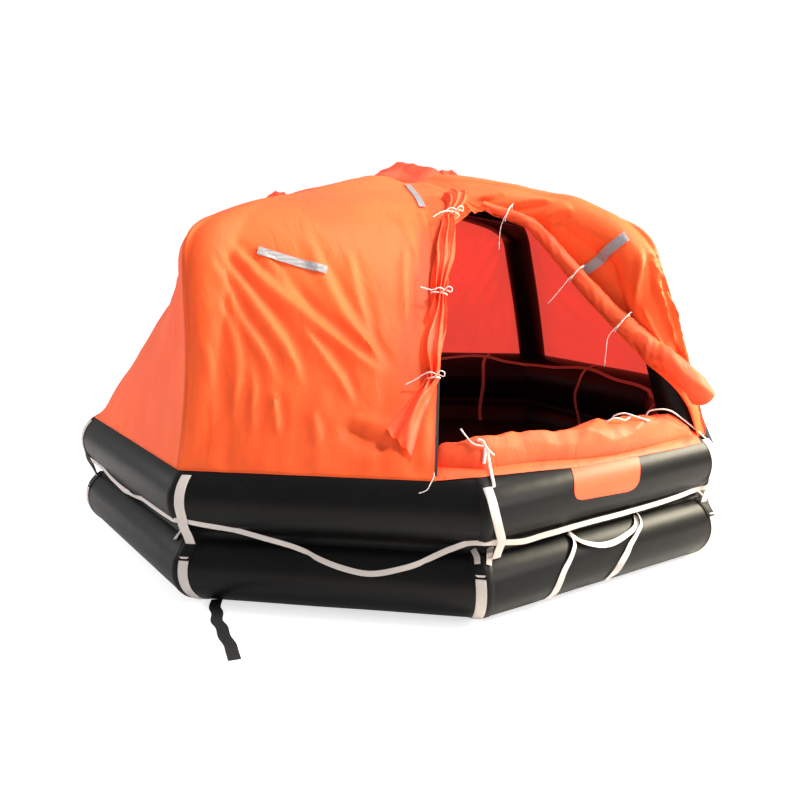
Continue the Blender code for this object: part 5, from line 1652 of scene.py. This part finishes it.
def addUnderside():
    middle, half = middleOf("gas_cylinder")
    far, radius, t = half[0], half[2] - 0.001, np.linspace(0, math.pi / 2, 14)
    back = np.stack([0.055 * (1 - np.sin(t)) - far, radius * np.cos(t)], -1)[-2::-1]
    front = np.stack([far - 0.085 * (1 - np.sin(t)), np.maximum(radius * np.cos(t), 0.016)], -1)[1:]
    barrel = [(x, radius) for x in np.linspace(0.06 - far, far - 0.09, 12)]
    profile = [(-far, 0.004), *back, *barrel, *front]
    lathe("gas_bottle", profile, middle, "steel", 48, 35.0, stands=["gas_cylinder"])
    middle, half = middleOf("cylinder_valve")
    lathe("bottle_valve", valveSteps * half[:2], middle, "brass", 36, 30.0, stands=["cylinder_valve"])
    # water pockets, folded flat: a rounded rectangle with creases in its lower face
    r, a = np.linspace(0.03, 1, 34)[:, None], circle(96)
    x, y = 0.168 * r * squared(np.sin(a), 0.45), 0.268 * r * squared(np.cos(a), 0.45)
    for number in range(1, 5):
        middle, half = middleOf("water_pocket_%d" % number)
        azimuth = math.atan2(middle[0], -middle[1])
        fold = np.abs(np.sin(y * 19 + 0.7 * number + 1.5 * np.sin(x * 9))) ** 0.6
        depth = 0.024 * (1 - r ** 4) ** 0.7 * (0.72 + 0.28 * fold)
        places = middle + x[..., None] * direction(azimuth) + y[..., None] * direction(azimuth + math.pi / 2)
        top = places + upward * (half[2] - 0.001)
        bottom = places + upward * (half[2] - 0.005 - depth)[..., None]
        pocket = sweep("folded_water_pocket_%d" % number, np.concatenate([bottom, top[::-1]]), "band", 60.0,
                       stands=["water_pocket_%d" % number])


addInsideLines()
addInnerPocket()
addEntranceTrim()
addUnderside()
print("inside, trim and underside made")


# ---- floor and light

# Each lamp: name, place, size, power, colour; all face the raft's middle.
lamps = (
    ("overhead", (0.6, 0.9, 6.5), 4.0, 70.0, (1.0, 0.97, 0.93)),
    ("key", (2.6, -2.6, 6.0), 1.0, 360.0, (1.0, 0.99, 0.97)),
    ("leftFill", (-6.2, 0.9, 2.6), 2.0, 130.0, (1.0, 0.98, 0.95)),
    ("rightFront", (4.2, -4.6, 1.7), 1.8, 90.0, (1.0, 0.98, 0.95)),
    ("rightSide", (4.8, -2.0, 2.9), 1.6, 560.0, (1.0, 0.91, 0.70)),
)


def addStage():
    ground, (made, nodes, shader) = bpy.data.meshes.new("ground"), newFinish("ground_white")
    corners = [(x, y, -0.0005) for x, y in ((-60, -60), (60, -60), (60, 60), (-60, 60))]
    ground.from_pydata(corners, [], [(0, 1, 2, 3)])
    seen = nodes.add("LightPath").outputs["Is Camera Ray"]
    nodes.feed(shader, {"Base Color": (0.93, 0.93, 0.93, 1), "Roughness": 0.9, "Emission Color": (1, 1, 1, 1),
                        "Emission Strength": nodes.between(seen, 0.0, 1.0, 0.10, 0.66)})
    ground.materials.append(made)
    piece = bpy.data.objects.new("ground", ground)
    bpy.context.scene.collection.objects.link(piece)
    world = bpy.context.scene.world = bpy.data.worlds.new("studio")
    world.use_nodes = True
    nodes = Nodes(world.node_tree)
    seen = nodes.add("LightPath").outputs["Is Camera Ray"]
    nodes.feed(world.node_tree.nodes["Background"], {"Color": (1, 1, 1, 1),
                                                     "Strength": nodes.between(seen, 0.0, 1.0, 0.44, 1.02)})
    for name, place, size, power, colour in lamps:
        data = bpy.data.lights.new(name, "AREA")
        data.shape, data.size, data.energy, data.color = "DISK", size, power, colour
        back = unit(np.array(place) - np.array([0, 0, 0.9]))
        side = unit(np.cross(upward, back))
        placed(name, data, side, np.cross(back, side), back, place)
    bpy.context.scene.view_settings.view_transform = "Standard"


addStage()
